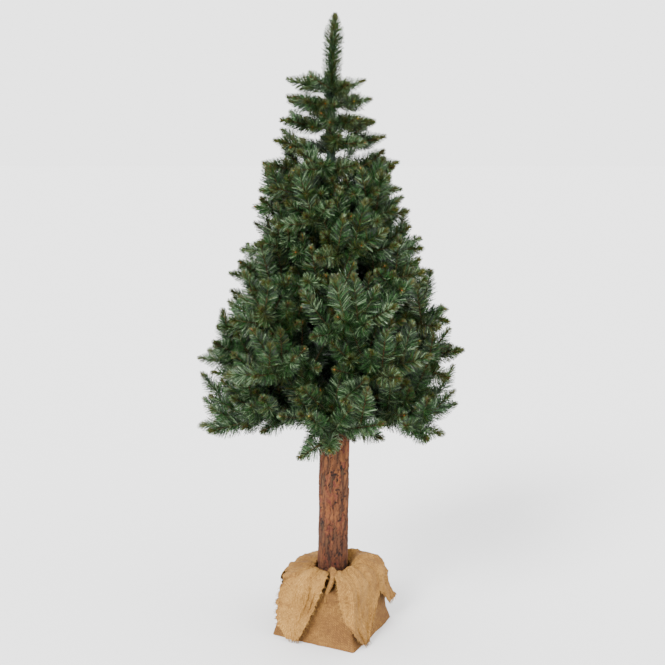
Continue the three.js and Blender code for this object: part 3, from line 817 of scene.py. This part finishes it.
def tube_faces(rings, sides):
    """A grid closed on itself, with a flat end at its first and its last ring."""
    foot = fan(0, np.arange(2, sides), np.arange(1, sides - 1))
    top = sides * (rings - 1) + foot[:, ::-1]
    return np.vstack([grid_faces(rings, sides, True), foot, top])


def tube_points(centres, radii, sideways, upwards, sides):
    angles = 2 * pi * np.arange(sides) / sides
    ring = (np.cos(angles)[None, :, None] * sideways[:, None, :]
            + np.sin(angles)[None, :, None] * upwards[:, None, :])
    return centres[:, None, :] + radii[:, None, None] * ring


def tube_along(twig, stations, radii, sides):
    points, _, sideways, upwards = twig_frame(twig, stations)
    rings = tube_points(points, radii, sideways, upwards, sides)
    return rings.reshape(-1, 3), tube_faces(len(stations), sides)


def tube_round(path, radii, up, sides):
    """Rings of points round a path."""
    heading = unit(np.gradient(path, axis=0))
    sideways = unit(np.cross(heading, up))
    return tube_points(path, radii, sideways, np.cross(heading, sideways), sides)


def join_parts(parts):
    points, triangles, count = [], [], 0
    for part_points, part_triangles in parts:
        points.append(part_points)
        triangles.append(part_triangles + count)
        count += len(part_points)
    return np.vstack(points), np.vstack(triangles)


def deep_inside(twig):
    """Whether a spray's outer part is still near the pole."""
    x, y, z = axis_point(twig, OUTER_PART * twig.length)
    return hypot(x, y) < INNER_SHARE * crown_reach(atan2(y, x), z) and z < INNER_BELOW


def spray_kind(twig, rng):
    kind = twig.kind
    if kind is None and twig.start[2] > OLIVE_FROM and rng.uniform() < OLIVE_SHARE:
        kind = OLIVE_KIND
    if kind is None:
        kind = rng.choice(len(SPRAY_KINDS), p=[share for share, _ in SPRAY_KINDS])
    # Sprays deep in the crown take the inner kind, whose dark colour is painted shade
    return INNER_SHADE_KIND if twig.space and deep_inside(twig) else kind


def make_needles(twigs, nodes):
    """Needles of all twigs, joined by colour into pieces under the triangle limit."""
    rng = np.random.default_rng(SEEDS["needles"])
    names = list(NEEDLE_COLORS)
    deep, olive = names.index("needles_deep_and_shade"), names.index("needles_olive")
    groups = {name: [] for name in names}
    for twig in twigs:
        shares = SPRAY_KINDS[spray_kind(twig, rng)][1]
        needles, to_tip = needle_points(twig, rng)
        count = len(needles)
        # Most needles of a whorl have one colour, so that its streaks of painted sheen and painted
        # shade can be told apart
        whorl = twig.whorl
        by_whorl = rng.choice(len(names), count // whorl, p=shares)
        # Painted shade: half the needles of every other whorl take the dark colour
        every_other = by_whorl[::2]
        every_other[rng.uniform(0, 1, len(every_other)) < DARK_WHORLS] = deep
        single = rng.choice(len(names), count, p=shares)
        of_whorl = rng.uniform(0, 1, count) < WHORL_SHARE
        colors = np.where(of_whorl, np.repeat(by_whorl, whorl), single)
        at_tip = (to_tip < TIP_COLOR_LENGTH) & (rng.uniform(0, 1, count) < TIP_COLOR_SHARE)
        colors = np.where(at_tip, olive, colors)
        for index, name in enumerate(names):
            groups[name].append(needles[colors == index])
    for name, (low, high) in NEEDLE_COLORS.items():
        needles = np.vstack(groups[name])
        look = Look(name, high, 0.36)
        look.tint(low, high, 160.0, 2.0)
        parts = ceil(2 * len(needles) / PIECE_TRIANGLES)
        for index, part in enumerate(np.array_split(needles, parts)):
            triangles = 4 * np.arange(len(part))[:, None] + np.array((0, 1, 2, 1, 3, 2))
            add_piece(f"{name}_{index + 1}", "needles", part.reshape(-1, 3),
                      triangles.reshape(-1, 3), look, *nodes, smooth=False)


def make_cores(twigs):
    """Brown cores of the needled twigs and of the stems that carry them."""
    look = Look("twig_core", (0.05, 0.035, 0.014), 0.8, 0.3)
    look.tint((0.032, 0.018, 0.007), (0.105, 0.055, 0.019), 220.0)
    radii = np.linspace(*CORE_RADII, CORE_RINGS)
    parts = []
    for twig in twigs:
        core = twig.length - TIP_ROOM + CORE_MORE
        parts.append(tube_along(twig, np.linspace(0, core, CORE_RINGS), radii, CORE_SIDES))
    add_piece("twig_cores", "needles", *join_parts(parts), look)


def make_buds(twigs):
    """The cut tip of each twig, which shows as an orange or yellow dot."""
    rng = np.random.default_rng(SEEDS["buds"])
    groups = {name: [] for name in BUD_COLORS}
    shares = [share for share, _, _ in BUD_COLORS.values()]
    for twig in twigs:
        part = tube_along(twig, twig.length - TIP_ROOM + BUD_STEPS, BUD_RADII, BUD_SIDES)
        groups[rng.choice(list(BUD_COLORS), p=shares)].append(part)
    for name, (_, low, high) in BUD_COLORS.items():
        look = Look(name, high, 0.7, 0.3)
        look.tint(low, high, 300.0)
        add_piece(name, "needles", *join_parts(groups[name]), look)


def drooping_spray(foot_z, tip):
    """A spray that leaves the pole's foot nearly level and hangs to its tip."""
    x, y, z = tip
    foot_x = pole_x(foot_z)
    angle = atan2(y, x - foot_x)
    start = (foot_x + POLE_RADIUS * cos(angle), POLE_RADIUS * sin(angle), foot_z)
    out = hypot(x - start[0], y - start[1])
    return Twig(start, direction(angle, 0.0), length=out, bend=(z - foot_z) / out ** 2, **DROOPING)


def upright_spray(x, z, step, rise, extra, look):
    """A straight spray along the pole: where it starts, and how far it goes sideways and up."""
    towards = tuple(unit(np.array((step, 0.0, rise))))
    return Twig((x, 0.0, z), towards, length=rise + extra, **look)


def make_crown():
    stems, twigs = grow_crown()
    top_x, top_z = POLE_LEAN_X[1], POLE_Z[1]
    leader = upright_spray(top_x, top_z - LEADER_DOWN, LEADER_TOP_X - top_x,
                           TREE_TOP - top_z + LEADER_DOWN, 1, LEADER)
    low, high = POLE_NEEDLES_Z
    on_pole = upright_spray(pole_x(low), low, pole_x(high) - pole_x(low), high - low, TIP_ROOM,
                            POLE_NEEDLES)
    nodes = [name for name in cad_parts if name.startswith(("branch_", "leading", "drooping"))]
    needled = twigs + [leader] + [drooping_spray(*spray) for spray in DROOPING_SPRAYS]
    make_needles(needled + [on_pole] + [stem_needles(stem) for stem in stems], nodes)
    make_cores(needled)
    make_buds(needled)


def noise_on(around, share, rng):
    """Draws smooth noise of a size in cells on a surface; it closes on itself round the surface."""
    def noise(size, columns, rows, u=around, v=share):
        lattice = rng.uniform(-1, 1, (rows + 2, columns))
        u = np.mod(u, 1) * columns
        v = np.clip(v, 0, 1) * rows
        i, j = np.floor(u).astype(int), np.floor(v).astype(int)
        a, b = u - i, v - j
        a, b = a * a * (3 - 2 * a), b * b * (3 - 2 * b)
        near, far = i % columns, (i + 1) % columns
        low = lattice[j, near] * (1 - a) + lattice[j, far] * a
        high = lattice[j + 1, near] * (1 - a) + lattice[j + 1, far] * a
        return size * (low * (1 - b) + high * b)

    return noise


def round_points(radius, angle, z, middle=0.0):
    """Points round an upright line, from numbers or grids of rows and columns."""
    x, y = middle + radius * np.cos(angle), radius * np.sin(angle)
    return np.stack(np.broadcast_arrays(x, y, z), -1)


def bark_cells(u, v, columns, rows, rng):
    """Worley cells round the log: how far from a crack, and a number of the nearest cell."""
    centres_u = rng.uniform(0.12, 0.88, (rows + 4, columns))
    centres_v = rng.uniform(0.1, 0.9, (rows + 4, columns))
    tints = rng.uniform(0, 1, (rows + 4, columns))
    x, y = np.mod(u, 1) * columns, v * rows + 2
    i, j = np.floor(x).astype(int), np.floor(y).astype(int)
    first = np.full(u.shape, 9.0)
    second = np.full(u.shape, 9.0)
    tint = np.zeros(u.shape)
    for di in (-1, 0, 1):
        for dj in (-1, 0, 1):
            row = np.clip(j + dj, 0, rows + 3)
            column = (i + di) % columns
            dx = i + di + centres_u[row, column] - x
            dy = j + dj + centres_v[row, column] - y
            gap = np.sqrt(dx * dx + dy * dy)
            nearer = gap < first
            second = np.where(nearer, first, np.minimum(second, gap))
            tint = np.where(nearer, tints[row, column], tint)
            first = np.where(nearer, gap, first)
    return second - first, tint


def set_attribute(made, name, values):
    attribute = made.data.attributes.new(name, "FLOAT", "POINT")
    attribute.data.foreach_set("value", np.asarray(values, np.float32).ravel())


def bark_look():
    """Reddish bark plates, orange strips and grey patches, with cracks dark by their own colour and
    by painted shade.
    """
    look = Look("pine_bark", (0.25, 0.11, 0.06), 0.92, 0.25)
    plates = look.ramp(look.attribute("tint"),
                       (0.15, (0.036, 0.028, 0.013)), (0.33, (0.030, 0.0095, 0.005)),
                       (0.5, (0.056, 0.018, 0.008)), (0.68, (0.16, 0.054, 0.015)),
                       (0.82, (0.095, 0.020, 0.013)))
    fine = look.noise(130.0, 4.0, (1, 1, 0.2))
    grain = look.ramp(fine, (0.38, (0.010, 0.0045, 0.0022)), (0.62, (0.155, 0.064, 0.025)))
    half = look.ramp(look.noise(28.0, 4.0, (1, 1, 0.45)), (0.35, (0.1, 0.1, 0.1)),
                     (0.65, (0.7, 0.7, 0.7)))
    # Painted shade: the log is darker towards its foot, where more light falls than on its top
    # under the crown
    low = look.ramp(look.attribute("low"), (0.0, (0.91, 0.90, 0.89)), (1.0, (0.53, 0.46, 0.46)))
    bark = look.mixed(1.0, look.mixed(half, plates, grain), low, "MULTIPLY")
    # The cracks' colour darkens with their depth: partly the darker bark inside them, partly
    # painted shade in the recesses
    crack = look.ramp(look.attribute("crack"), (0.0, (0.006, 0.003, 0.002)),
                      (0.28, (0.034, 0.011, 0.005)), (0.6, (0.10, 0.032, 0.013)))
    depth = look.ramp(look.attribute("crack"), (0.0, (0, 0, 0)), (0.5, (1, 1, 1)))
    # The cut ends show the wood inside the bark
    wood = look.ramp(fine, (0.35, (0.17, 0.085, 0.030)), (0.65, (0.36, 0.205, 0.085)))
    look.color(look.mixed(look.attribute("cut"), look.mixed(depth, crack, bark), wood))
    look.bump(fine, 0.8, 0.0012)
    return look


def make_log():
    rng = np.random.default_rng(SEEDS["log"])
    side = np.arange(BARK_SIDES)
    angle = 2 * pi * side / BARK_SIDES
    along = np.arange(BARK_RINGS)[:, None] / (BARK_RINGS - 1)
    around, share = np.broadcast_arrays(angle / (2 * pi), along)
    noise = noise_on(around, share, rng)
    radius = lerp(*LOG_RADII, share)
    radius = radius + 1.4 * np.sin(3 * angle + 9 * share) * np.sin(7 * share + angle)
    # Plates and flakes have crooked edges
    warp_u = noise(0.014, 16, 16) + noise(0.009, 44, 90)
    warp_v = noise(0.036, 34, 14) + noise(0.014, 80, 60)
    v = np.clip(share + warp_v, 0, 1)
    edge, tint = bark_cells(around + warp_u, v, *BARK_CELLS, rng)
    small, small_tint = bark_cells(around + 1.6 * warp_u, v, *FLAKE_CELLS, rng)
    edge = edge + noise(0.12, 60, 120)
    edge = edge + 0.30 * np.clip(noise(1, 11, 16), 0, 1)
    rise = np.clip(edge / CRACK_SHARE, 0, 1)
    tint = 0.6 * tint + 0.4 * small_tint
    rise = rise * rise * (3 - 2 * rise)
    flakes = np.clip(small / FLAKE_SHARE, 0, 1)
    plate = (0.35 + 0.65 * tint) * rise
    radius = radius - BARK_INSET + BARK_DEPTH * plate * (0.78 + 0.22 * flakes)
    radius = radius + noise(0.35, 90, 200)
    for knot_turn, knot_share, size in KNOTS:
        away = np.hypot(np.angle(np.exp(1j * (angle - knot_turn))) * KNOT_SCALE[0],
                        (share - knot_share) * KNOT_SCALE[1])
        radius = (radius + KNOT_BULGE * np.exp(-(away / size) ** 2)
                  - KNOT_HOLE * np.exp(-(away / (0.4 * size)) ** 2))
    z = lerp(*LOG_Z, share)
    points = round_points(radius, angle, z, LOG_LEAN * share)
    # Both ends are flat cuts: the first and last rings again, a ring of wood in each and its middle
    middles = np.array(((0.0, 0.0, LOG_Z[0]), (LOG_LEAN, 0.0, LOG_Z[1])))
    foot_rim, top_rim = points[0], points[-1]
    ends = np.vstack([lerp(middles[0], foot_rim, CUT_WOOD_SHARE), foot_rim, top_rim,
                      lerp(middles[1], top_rim, CUT_WOOD_SHARE), middles])
    following = (side + 1) % BARK_SIDES
    count = BARK_SIDES * BARK_RINGS
    rims = grid_faces(2, BARK_SIDES, True) + count
    top_ring, foot_middle = count + 3 * BARK_SIDES, count + 4 * BARK_SIDES
    triangles = np.vstack([grid_faces(BARK_RINGS, BARK_SIDES, True), rims, rims + 2 * BARK_SIDES,
                           fan(foot_middle, count + following, count + side),
                           fan(foot_middle + 1, top_ring + side, top_ring + following)])
    log = add_piece("bark_log", "bark", np.vstack([points.reshape(-1, 3), ends]), triangles,
                    bark_look(), "log_trunk")
    # Painted shade towards the log's foot, kept as the attribute low
    low = np.clip((PAINTED_FOOT_SHADE_Z - z) / PAINTED_FOOT_SHADE_FADE + noise(0.25, 8, 12), 0, 1)
    for name, values in (("tint", tint), ("low", low), ("crack", plate * (0.6 + 0.4 * flakes))):
        set_attribute(log, name, np.append(values.ravel(), np.full(len(ends), 0.5)))
    cut = np.repeat((1, 0, 0, 1), BARK_SIDES)
    set_attribute(log, "cut", np.concatenate([np.zeros(count), cut, (1, 1)]))


def make_pole():
    """The pole with its tape, wound in a spiral that overlaps by half a turn."""
    z = np.linspace(*POLE_Z, POLE_RINGS)[:, None]
    angle = 2 * pi * np.arange(POLE_SIDES)[None, :] / POLE_SIDES
    turn = np.mod(z / TAPE_PITCH + angle / (2 * pi), 1)
    points = round_points(POLE_RADIUS - TAPE_STEP * turn, angle, z, pole_x(z))
    look = Look("pole_tape", (0.005, 0.02, 0.01), 0.5, 0.3)
    look.bump(look.tint((0.003, 0.013, 0.006), (0.008, 0.03, 0.014), 60.0), 0.4, 0.001)
    add_piece("wound_pole", "pole", points.reshape(-1, 3), tube_faces(POLE_RINGS, POLE_SIDES),
              look, "pole")


def square_radius(half, angle):
    turned = angle - BLOCK_TURN
    nearest = np.maximum(np.abs(np.cos(turned)), np.abs(np.sin(turned)))
    return half * np.minimum(1 / nearest, CORNER_SHARE)


def smooth_table(table, count):
    """Rows of a table resampled smoothly and evenly by the first two columns."""
    rows = np.asarray(table, float)
    padded = np.vstack([2 * rows[0] - rows[1], rows, 2 * rows[-1] - rows[-2]])
    t = np.linspace(0, 1, SMOOTH_STEPS, endpoint=False)[:, None]
    dense = []
    for i in range(len(rows) - 1):
        p0, p1, p2, p3 = padded[i:i + 4]
        # Catmull-Rom curve with a tight pull, so that it keeps near its rows
        m1, m2 = SMOOTH_PULL * (p2 - p0), SMOOTH_PULL * (p3 - p1)
        dense.append((2 * t ** 3 - 3 * t ** 2 + 1) * p1 + (t ** 3 - 2 * t ** 2 + t) * m1
                     + (-2 * t ** 3 + 3 * t ** 2) * p2 + (t ** 3 - t ** 2) * m2)
    dense = np.vstack(dense + [rows[-1:]])
    steps = np.hypot(*np.diff(dense[:, :2], axis=0).T)
    along = np.concatenate([[0], np.cumsum(steps)])
    wanted = np.linspace(0, along[-1], count)
    return np.stack([np.interp(wanted, along, column) for column in dense.T], axis=-1), wanted


def wrap_body():
    """The cloth over the block and up to the neck: its points and places in the cloth."""
    rng = np.random.default_rng(SEEDS["wrap"])
    rows, columns = WRAP_GRID
    angle = 2 * pi * np.arange(columns) / columns
    table = [(height, half * (1 - neck) + NECK_RADIUS * neck, half, neck)
             for height, half, neck in WRAP_RINGS]
    levels, along = smooth_table(table, rows)
    height, _, half, neck = (column[:, None] for column in levels.T)
    around, share = np.broadcast_arrays(angle / (2 * pi), np.linspace(0, 1, rows)[:, None])
    noise = noise_on(around, share, rng)
    pleat = np.sin(NECK_PLEATS * angle + noise(2.5, 5, 3))
    folds = noise(2.6, 16, 5) + noise(1.6, 34, 12)
    folds = folds + np.abs(noise(1.1, 60, 30))
    radius = (square_radius(half, angle) * (1 - neck) + NECK_RADIUS * neck
              + folds * (1 - neck) + 3.0 * pleat * neck * (height > BLOCK_HEIGHT))
    # The cloth keeps outside the block
    outside = square_radius(BLOCK_SIDE / 2 + 1, angle) * 1.002
    radius = np.where(height < BLOCK_HEIGHT + 3, np.maximum(radius, outside), radius)
    z = np.clip(height + 2.0 * pleat * neck * (1 - neck) * 4, 0, None)
    cloth = np.broadcast_arrays(around * 2 * pi * WRAP_CLOTH_RADIUS * MM, along[:, None] * MM)
    return round_points(radius, angle, z), np.stack(cloth, -1)


def flap_surface(flap, index):
    """One flap's points, its places in the cloth and its painted shading."""
    hump, shoulder, squareness, stand, fall, painted_shading, firsts, lasts = flap
    rng = np.random.default_rng(SEEDS["flap"] + index)
    rows, columns = FLAP_GRID
    side = WRAP_HALF + stand
    # Height, distance, how square it is, and how much it sags at its sides
    table = (
        (NECK_Z - 4, NECK_RADIUS - 3, 0, 0.2),
        (hump, HUMP_RADIUS, 0.1, 0.7),
        (hump - 6, shoulder, squareness, 1),
        (hump - 36, side - 1, 0.9, 1),
        (FLAP_MIDDLE_Z, side + 2, 1, 0.3),
        (lerp(FLAP_MIDDLE_Z, fall, 0.55), side + 9, 1, 0),
        (fall, side + 18, 1, 0),
    )
    table = [(*row, first, last) for row, first, last in zip(table, firsts, lasts)]
    levels, along = smooth_table(table, rows)
    z, r, square, sag, first, last = (column[:, None] for column in levels.T)
    along = along[:, None]
    down = np.linspace(0, 1, rows)[:, None]
    across = np.linspace(-1, 1, columns)[None, :]
    around, share = np.broadcast_arrays((1 + across) / 2 * OPEN_SHARE, down)
    noise = noise_on(around, share, rng)
    edge = (down * OPEN_SHARE, 0 * down)
    ragged = noise(1.2, 40, 1, *edge) + noise(0.5, 90, 1, *edge)
    first = first + ragged * 90 / np.maximum(r, 60)
    last = last + ragged[::-1] * 90 / np.maximum(r, 60)
    angle = np.radians(lerp(first, last, (1 + across) / 2))
    bend = np.sin(pi * down) ** 0.5
    folds = noise(10.0, 6, 3, v=share * 0.6) * bend
    # Creases run down the cloth as sharp ridges and fade
    slant = around + noise(0.10, 3, 4)
    folds = folds - np.abs(noise(11.0, 9, 4, slant, share * 0.5)) * bend
    folds = folds - np.abs(noise(3.6, 16, 12, slant)) + 3.0
    folds = folds + noise(0.9, 30, 34)
    pleat = np.sin(around * (last - first).mean() / 57 * 16 + noise(2, 3, 3))
    pleat = pleat * np.exp(-np.clip(along - 6, 0, None) / 60)
    curl = np.clip(np.abs(across) - 0.86, 0, None) / 0.14
    upright = np.clip((HUMP_FLAT - z) / 40, 0, 1)
    radius = lerp(r, square_radius(r, angle), square)
    radius = radius + (folds * 0.8 + 3.0 * curl ** 2) * np.clip(upright + 0.25, 0, 1)
    height = z - FLAP_SAG * across ** 2 * sag + CLOTH_THICK * 0.65
    height = np.maximum(height + (folds * 0.7 + 4.5 * pleat) * (1 - upright), 1.5)
    # A flap is a corner of the square cloth, so its threads run slantwise
    u, v = across * (np.radians(last - first) * r / 2) * MM, along * MM
    cloth = np.stack([u - v, u + v], -1) * sqrt(0.5) + 0.37 * (index + 1)
    return round_points(radius, angle, height), cloth, painted_shading


def jute_look():
    """Woven jute: two crossed thread directions in the cloth's own coordinates."""
    look = Look("jute_cloth", (0.55, 0.36, 0.19), 0.95, 0.2)
    place = look.node("UVMap", "UV", uv_map="cloth")
    u, v = (look.node("SeparateXYZ", axis, {"Vector": place}) for axis in "XY")

    def thread(along, other):
        phase = look.math("MULTIPLY", along, pi / JUTE_PITCH)
        rib = look.math("ABSOLUTE", look.math("SINE", phase))
        cell = look.math("FLOOR", look.math("DIVIDE", along, JUTE_PITCH))
        weave = look.math("SINE", look.math("MULTIPLY_ADD", other, pi / JUTE_PITCH,
                                            look.math("MULTIPLY", cell, pi)))
        return look.math("MULTIPLY", rib, look.math("MULTIPLY_ADD", weave, 0.35, 0.65))

    height = look.math("MAXIMUM", thread(u, v), thread(v, u))
    streaks = look.math("ADD", *(look.noise(420.0, 1.0, stretch, place)
                                 for stretch in ((1, 0.12, 1), (0.12, 1, 1))))
    # Each of these is centred on its own mean, and the sum on one half
    # The weave's height also sets the colour: painted shade in the gaps between the threads
    total = look.math("MULTIPLY_ADD", height, 0.30, -0.13)
    total = look.math("MULTIPLY_ADD", streaks, 0.24, total)
    for scale, weight in ((14.0, 0.26), (240.0, 0.20)):
        total = look.math("MULTIPLY_ADD", look.noise(scale, 3.0, place=place), weight, total)
    # Painted shading: each part's own tone value makes the cloth lighter or darker by how light
    # falls on it
    look.color(look.ramp(look.math("ADD", total, look.attribute("painted_shading")), *JUTE_COLORS))
    look.bump(look.math("MULTIPLY_ADD", streaks, 0.5, height), 0.7, 0.0009)
    return look


def cloth_threads(flaps):
    """Loose threads along the flaps' cut edges."""
    rng = np.random.default_rng(SEEDS["threads"])
    parts = []
    for points in flaps:
        edges = ((points[:, 0], points[:, 3], SIDE_THREADS),
                 (points[:, -1], points[:, -4], SIDE_THREADS),
                 (points[-1], points[-4], LOW_THREADS))
        for edge, inner, (count, first) in edges:
            for _ in range(count):
                place = rng.uniform(first, 1) * (len(edge) - 1)
                low = min(int(place), len(edge) - 2)
                foot = lerp(edge[low], edge[low + 1], place - low)
                out = unit(foot - inner[low] + rng.normal(0, 0.9, 3))
                long = rng.uniform(*THREAD_LENGTHS)
                steps = long * THREAD_STEPS
                sag = np.array((0, 0, -1.0)) * rng.uniform(0.1, 0.6)
                path = foot + np.outer(steps, out) + np.outer(steps ** 2 / long, sag)
                path[:, 2] = np.maximum(path[:, 2], 1.0)
                rings = tube_round(path, THREAD_RADII, (0.3, 0.2, 1.0), THREAD_SIDES)
                parts.append((rings.reshape(-1, 3), tube_faces(len(path), THREAD_SIDES)))
    return join_parts(parts)


def rolled_fold():
    """The cloth's fold that lies rolled up in the gap between the two front flaps."""
    rng = np.random.default_rng(SEEDS["fold"])
    rows, sides = FOLD_GRID
    path, along = smooth_table(FOLD_PATH, rows)
    share = np.linspace(0, 1, rows)
    centres = round_points(path[:, 0], FOLD_TURN + 0.10 * np.sin(5 * share), path[:, 1])
    up = (0.0, 0.0, 1.0) + 0.6 * unit(centres * (1, 1, 0))
    rings = tube_round(centres, 9.0 * (1 - share) ** 0.5 + 2.0, up, sides)
    around, down = np.broadcast_arrays(np.arange(sides) / sides, share[:, None])
    ridges = 1 + noise_on(around, down, rng)(0.16, 7, 6)
    rings = centres[:, None, :] + (rings - centres[:, None, :]) * ridges[..., None]
    cloth = np.stack(np.broadcast_arrays(around * 0.04, along[:, None] * MM), -1)
    return rings, cloth


def make_cloth():
    round_grids = [(*wrap_body(), WRAP_PAINTED_SHADE), (*rolled_fold(), FOLD_PAINTED_SHADE)]
    flaps = [flap_surface(flap, index) for index, flap in enumerate(FLAPS)]
    grids = round_grids + flaps
    points, triangles = join_parts([
        (points.reshape(-1, 3), grid_faces(*points.shape[:2], index < len(round_grids)))
        for index, (points, _, _) in enumerate(grids)])
    cloth = add_piece("jute_cloth", "jute", points, triangles, jute_look(), "jute_wrap")
    # Painted shading of each grid, as a value added to the cloth's colour
    painted_shadings = [np.full(uv[..., 0].size, painted_shading) for _, uv, painted_shading in grids]
    set_attribute(cloth, "painted_shading", np.concatenate(painted_shadings))
    layer = cloth.data.uv_layers.new(name="cloth")
    uvs = np.vstack([uv.reshape(-1, 2) for _, uv, _ in grids])
    layer.data.foreach_set("uv", np.asarray(uvs[triangles.ravel()], np.float32).ravel())
    look = Look("jute_threads", (0.3, 0.17, 0.06), 0.95, 0.2)
    look.tint((0.10, 0.045, 0.010), (0.30, 0.17, 0.05), 120.0)
    threads = cloth_threads(points for points, _, _ in flaps)
    fray = add_piece("jute_fray", "jute", *threads, look)


def dress_block():
    """The wooden block under the cloth keeps its solid and gets its own material."""
    look = Look("plain_wood", (0.35, 0.23, 0.13), 0.8, 0.3)
    look.tint((0.26, 0.16, 0.085), (0.42, 0.29, 0.16), 30.0, 4.0, (1, 1, 6))
    block = bpy.data.objects["stand_block"]
    block.data.materials.clear()
    block.data.materials.append(look.material)


def make_camera():
    data = bpy.data.cameras.new("camera")
    data.sensor_width = SENSOR_WIDTH
    data.lens = FOCAL_PIXELS / PICTURE_SIDE * SENSOR_WIDTH
    camera = add_object("camera", data)
    camera.location = CAMERA_PLACE
    camera.rotation_euler = (pi / 2 - CAMERA_DOWN, 0, 0)
    bpy.context.scene.camera = camera


def make_sun(name, strength, place, spread):
    """A wide soft light from one side, as from a large studio box."""
    data = bpy.data.lights.new(name, "SUN")
    data.energy = strength
    data.angle = radians(spread)
    light = add_object(name, data)
    light.location = place
    light.rotation_euler = Vector(place).to_track_quat("Z", "Y").to_euler()


def make_stage():
    world = bpy.data.worlds.new("studio")
    world.use_nodes = True
    background = world.node_tree.nodes["Background"]
    background.inputs["Color"].default_value = (1, 1, 1, 1)
    background.inputs["Strength"].default_value = WORLD_LIGHT
    bpy.context.scene.world = world
    mesh = bpy.data.meshes.new("floor")
    corners = [(x * FLOOR_HALF, y * FLOOR_HALF, 0) for x, y in ((-1, -1), (1, -1), (1, 1), (-1, 1))]
    mesh.from_pydata(corners, [], [(0, 1, 2, 3)])
    mesh.materials.append(Look("floor", (0.7, 0.7, 0.7), 0.9, 0.1).material)
    floor = add_object("floor", mesh)
    for name, sun in SUNS.items():
        make_sun(name, *sun)


make_camera()
make_stage()
make_log()
make_pole()
make_cloth()
dress_block()
make_crown()
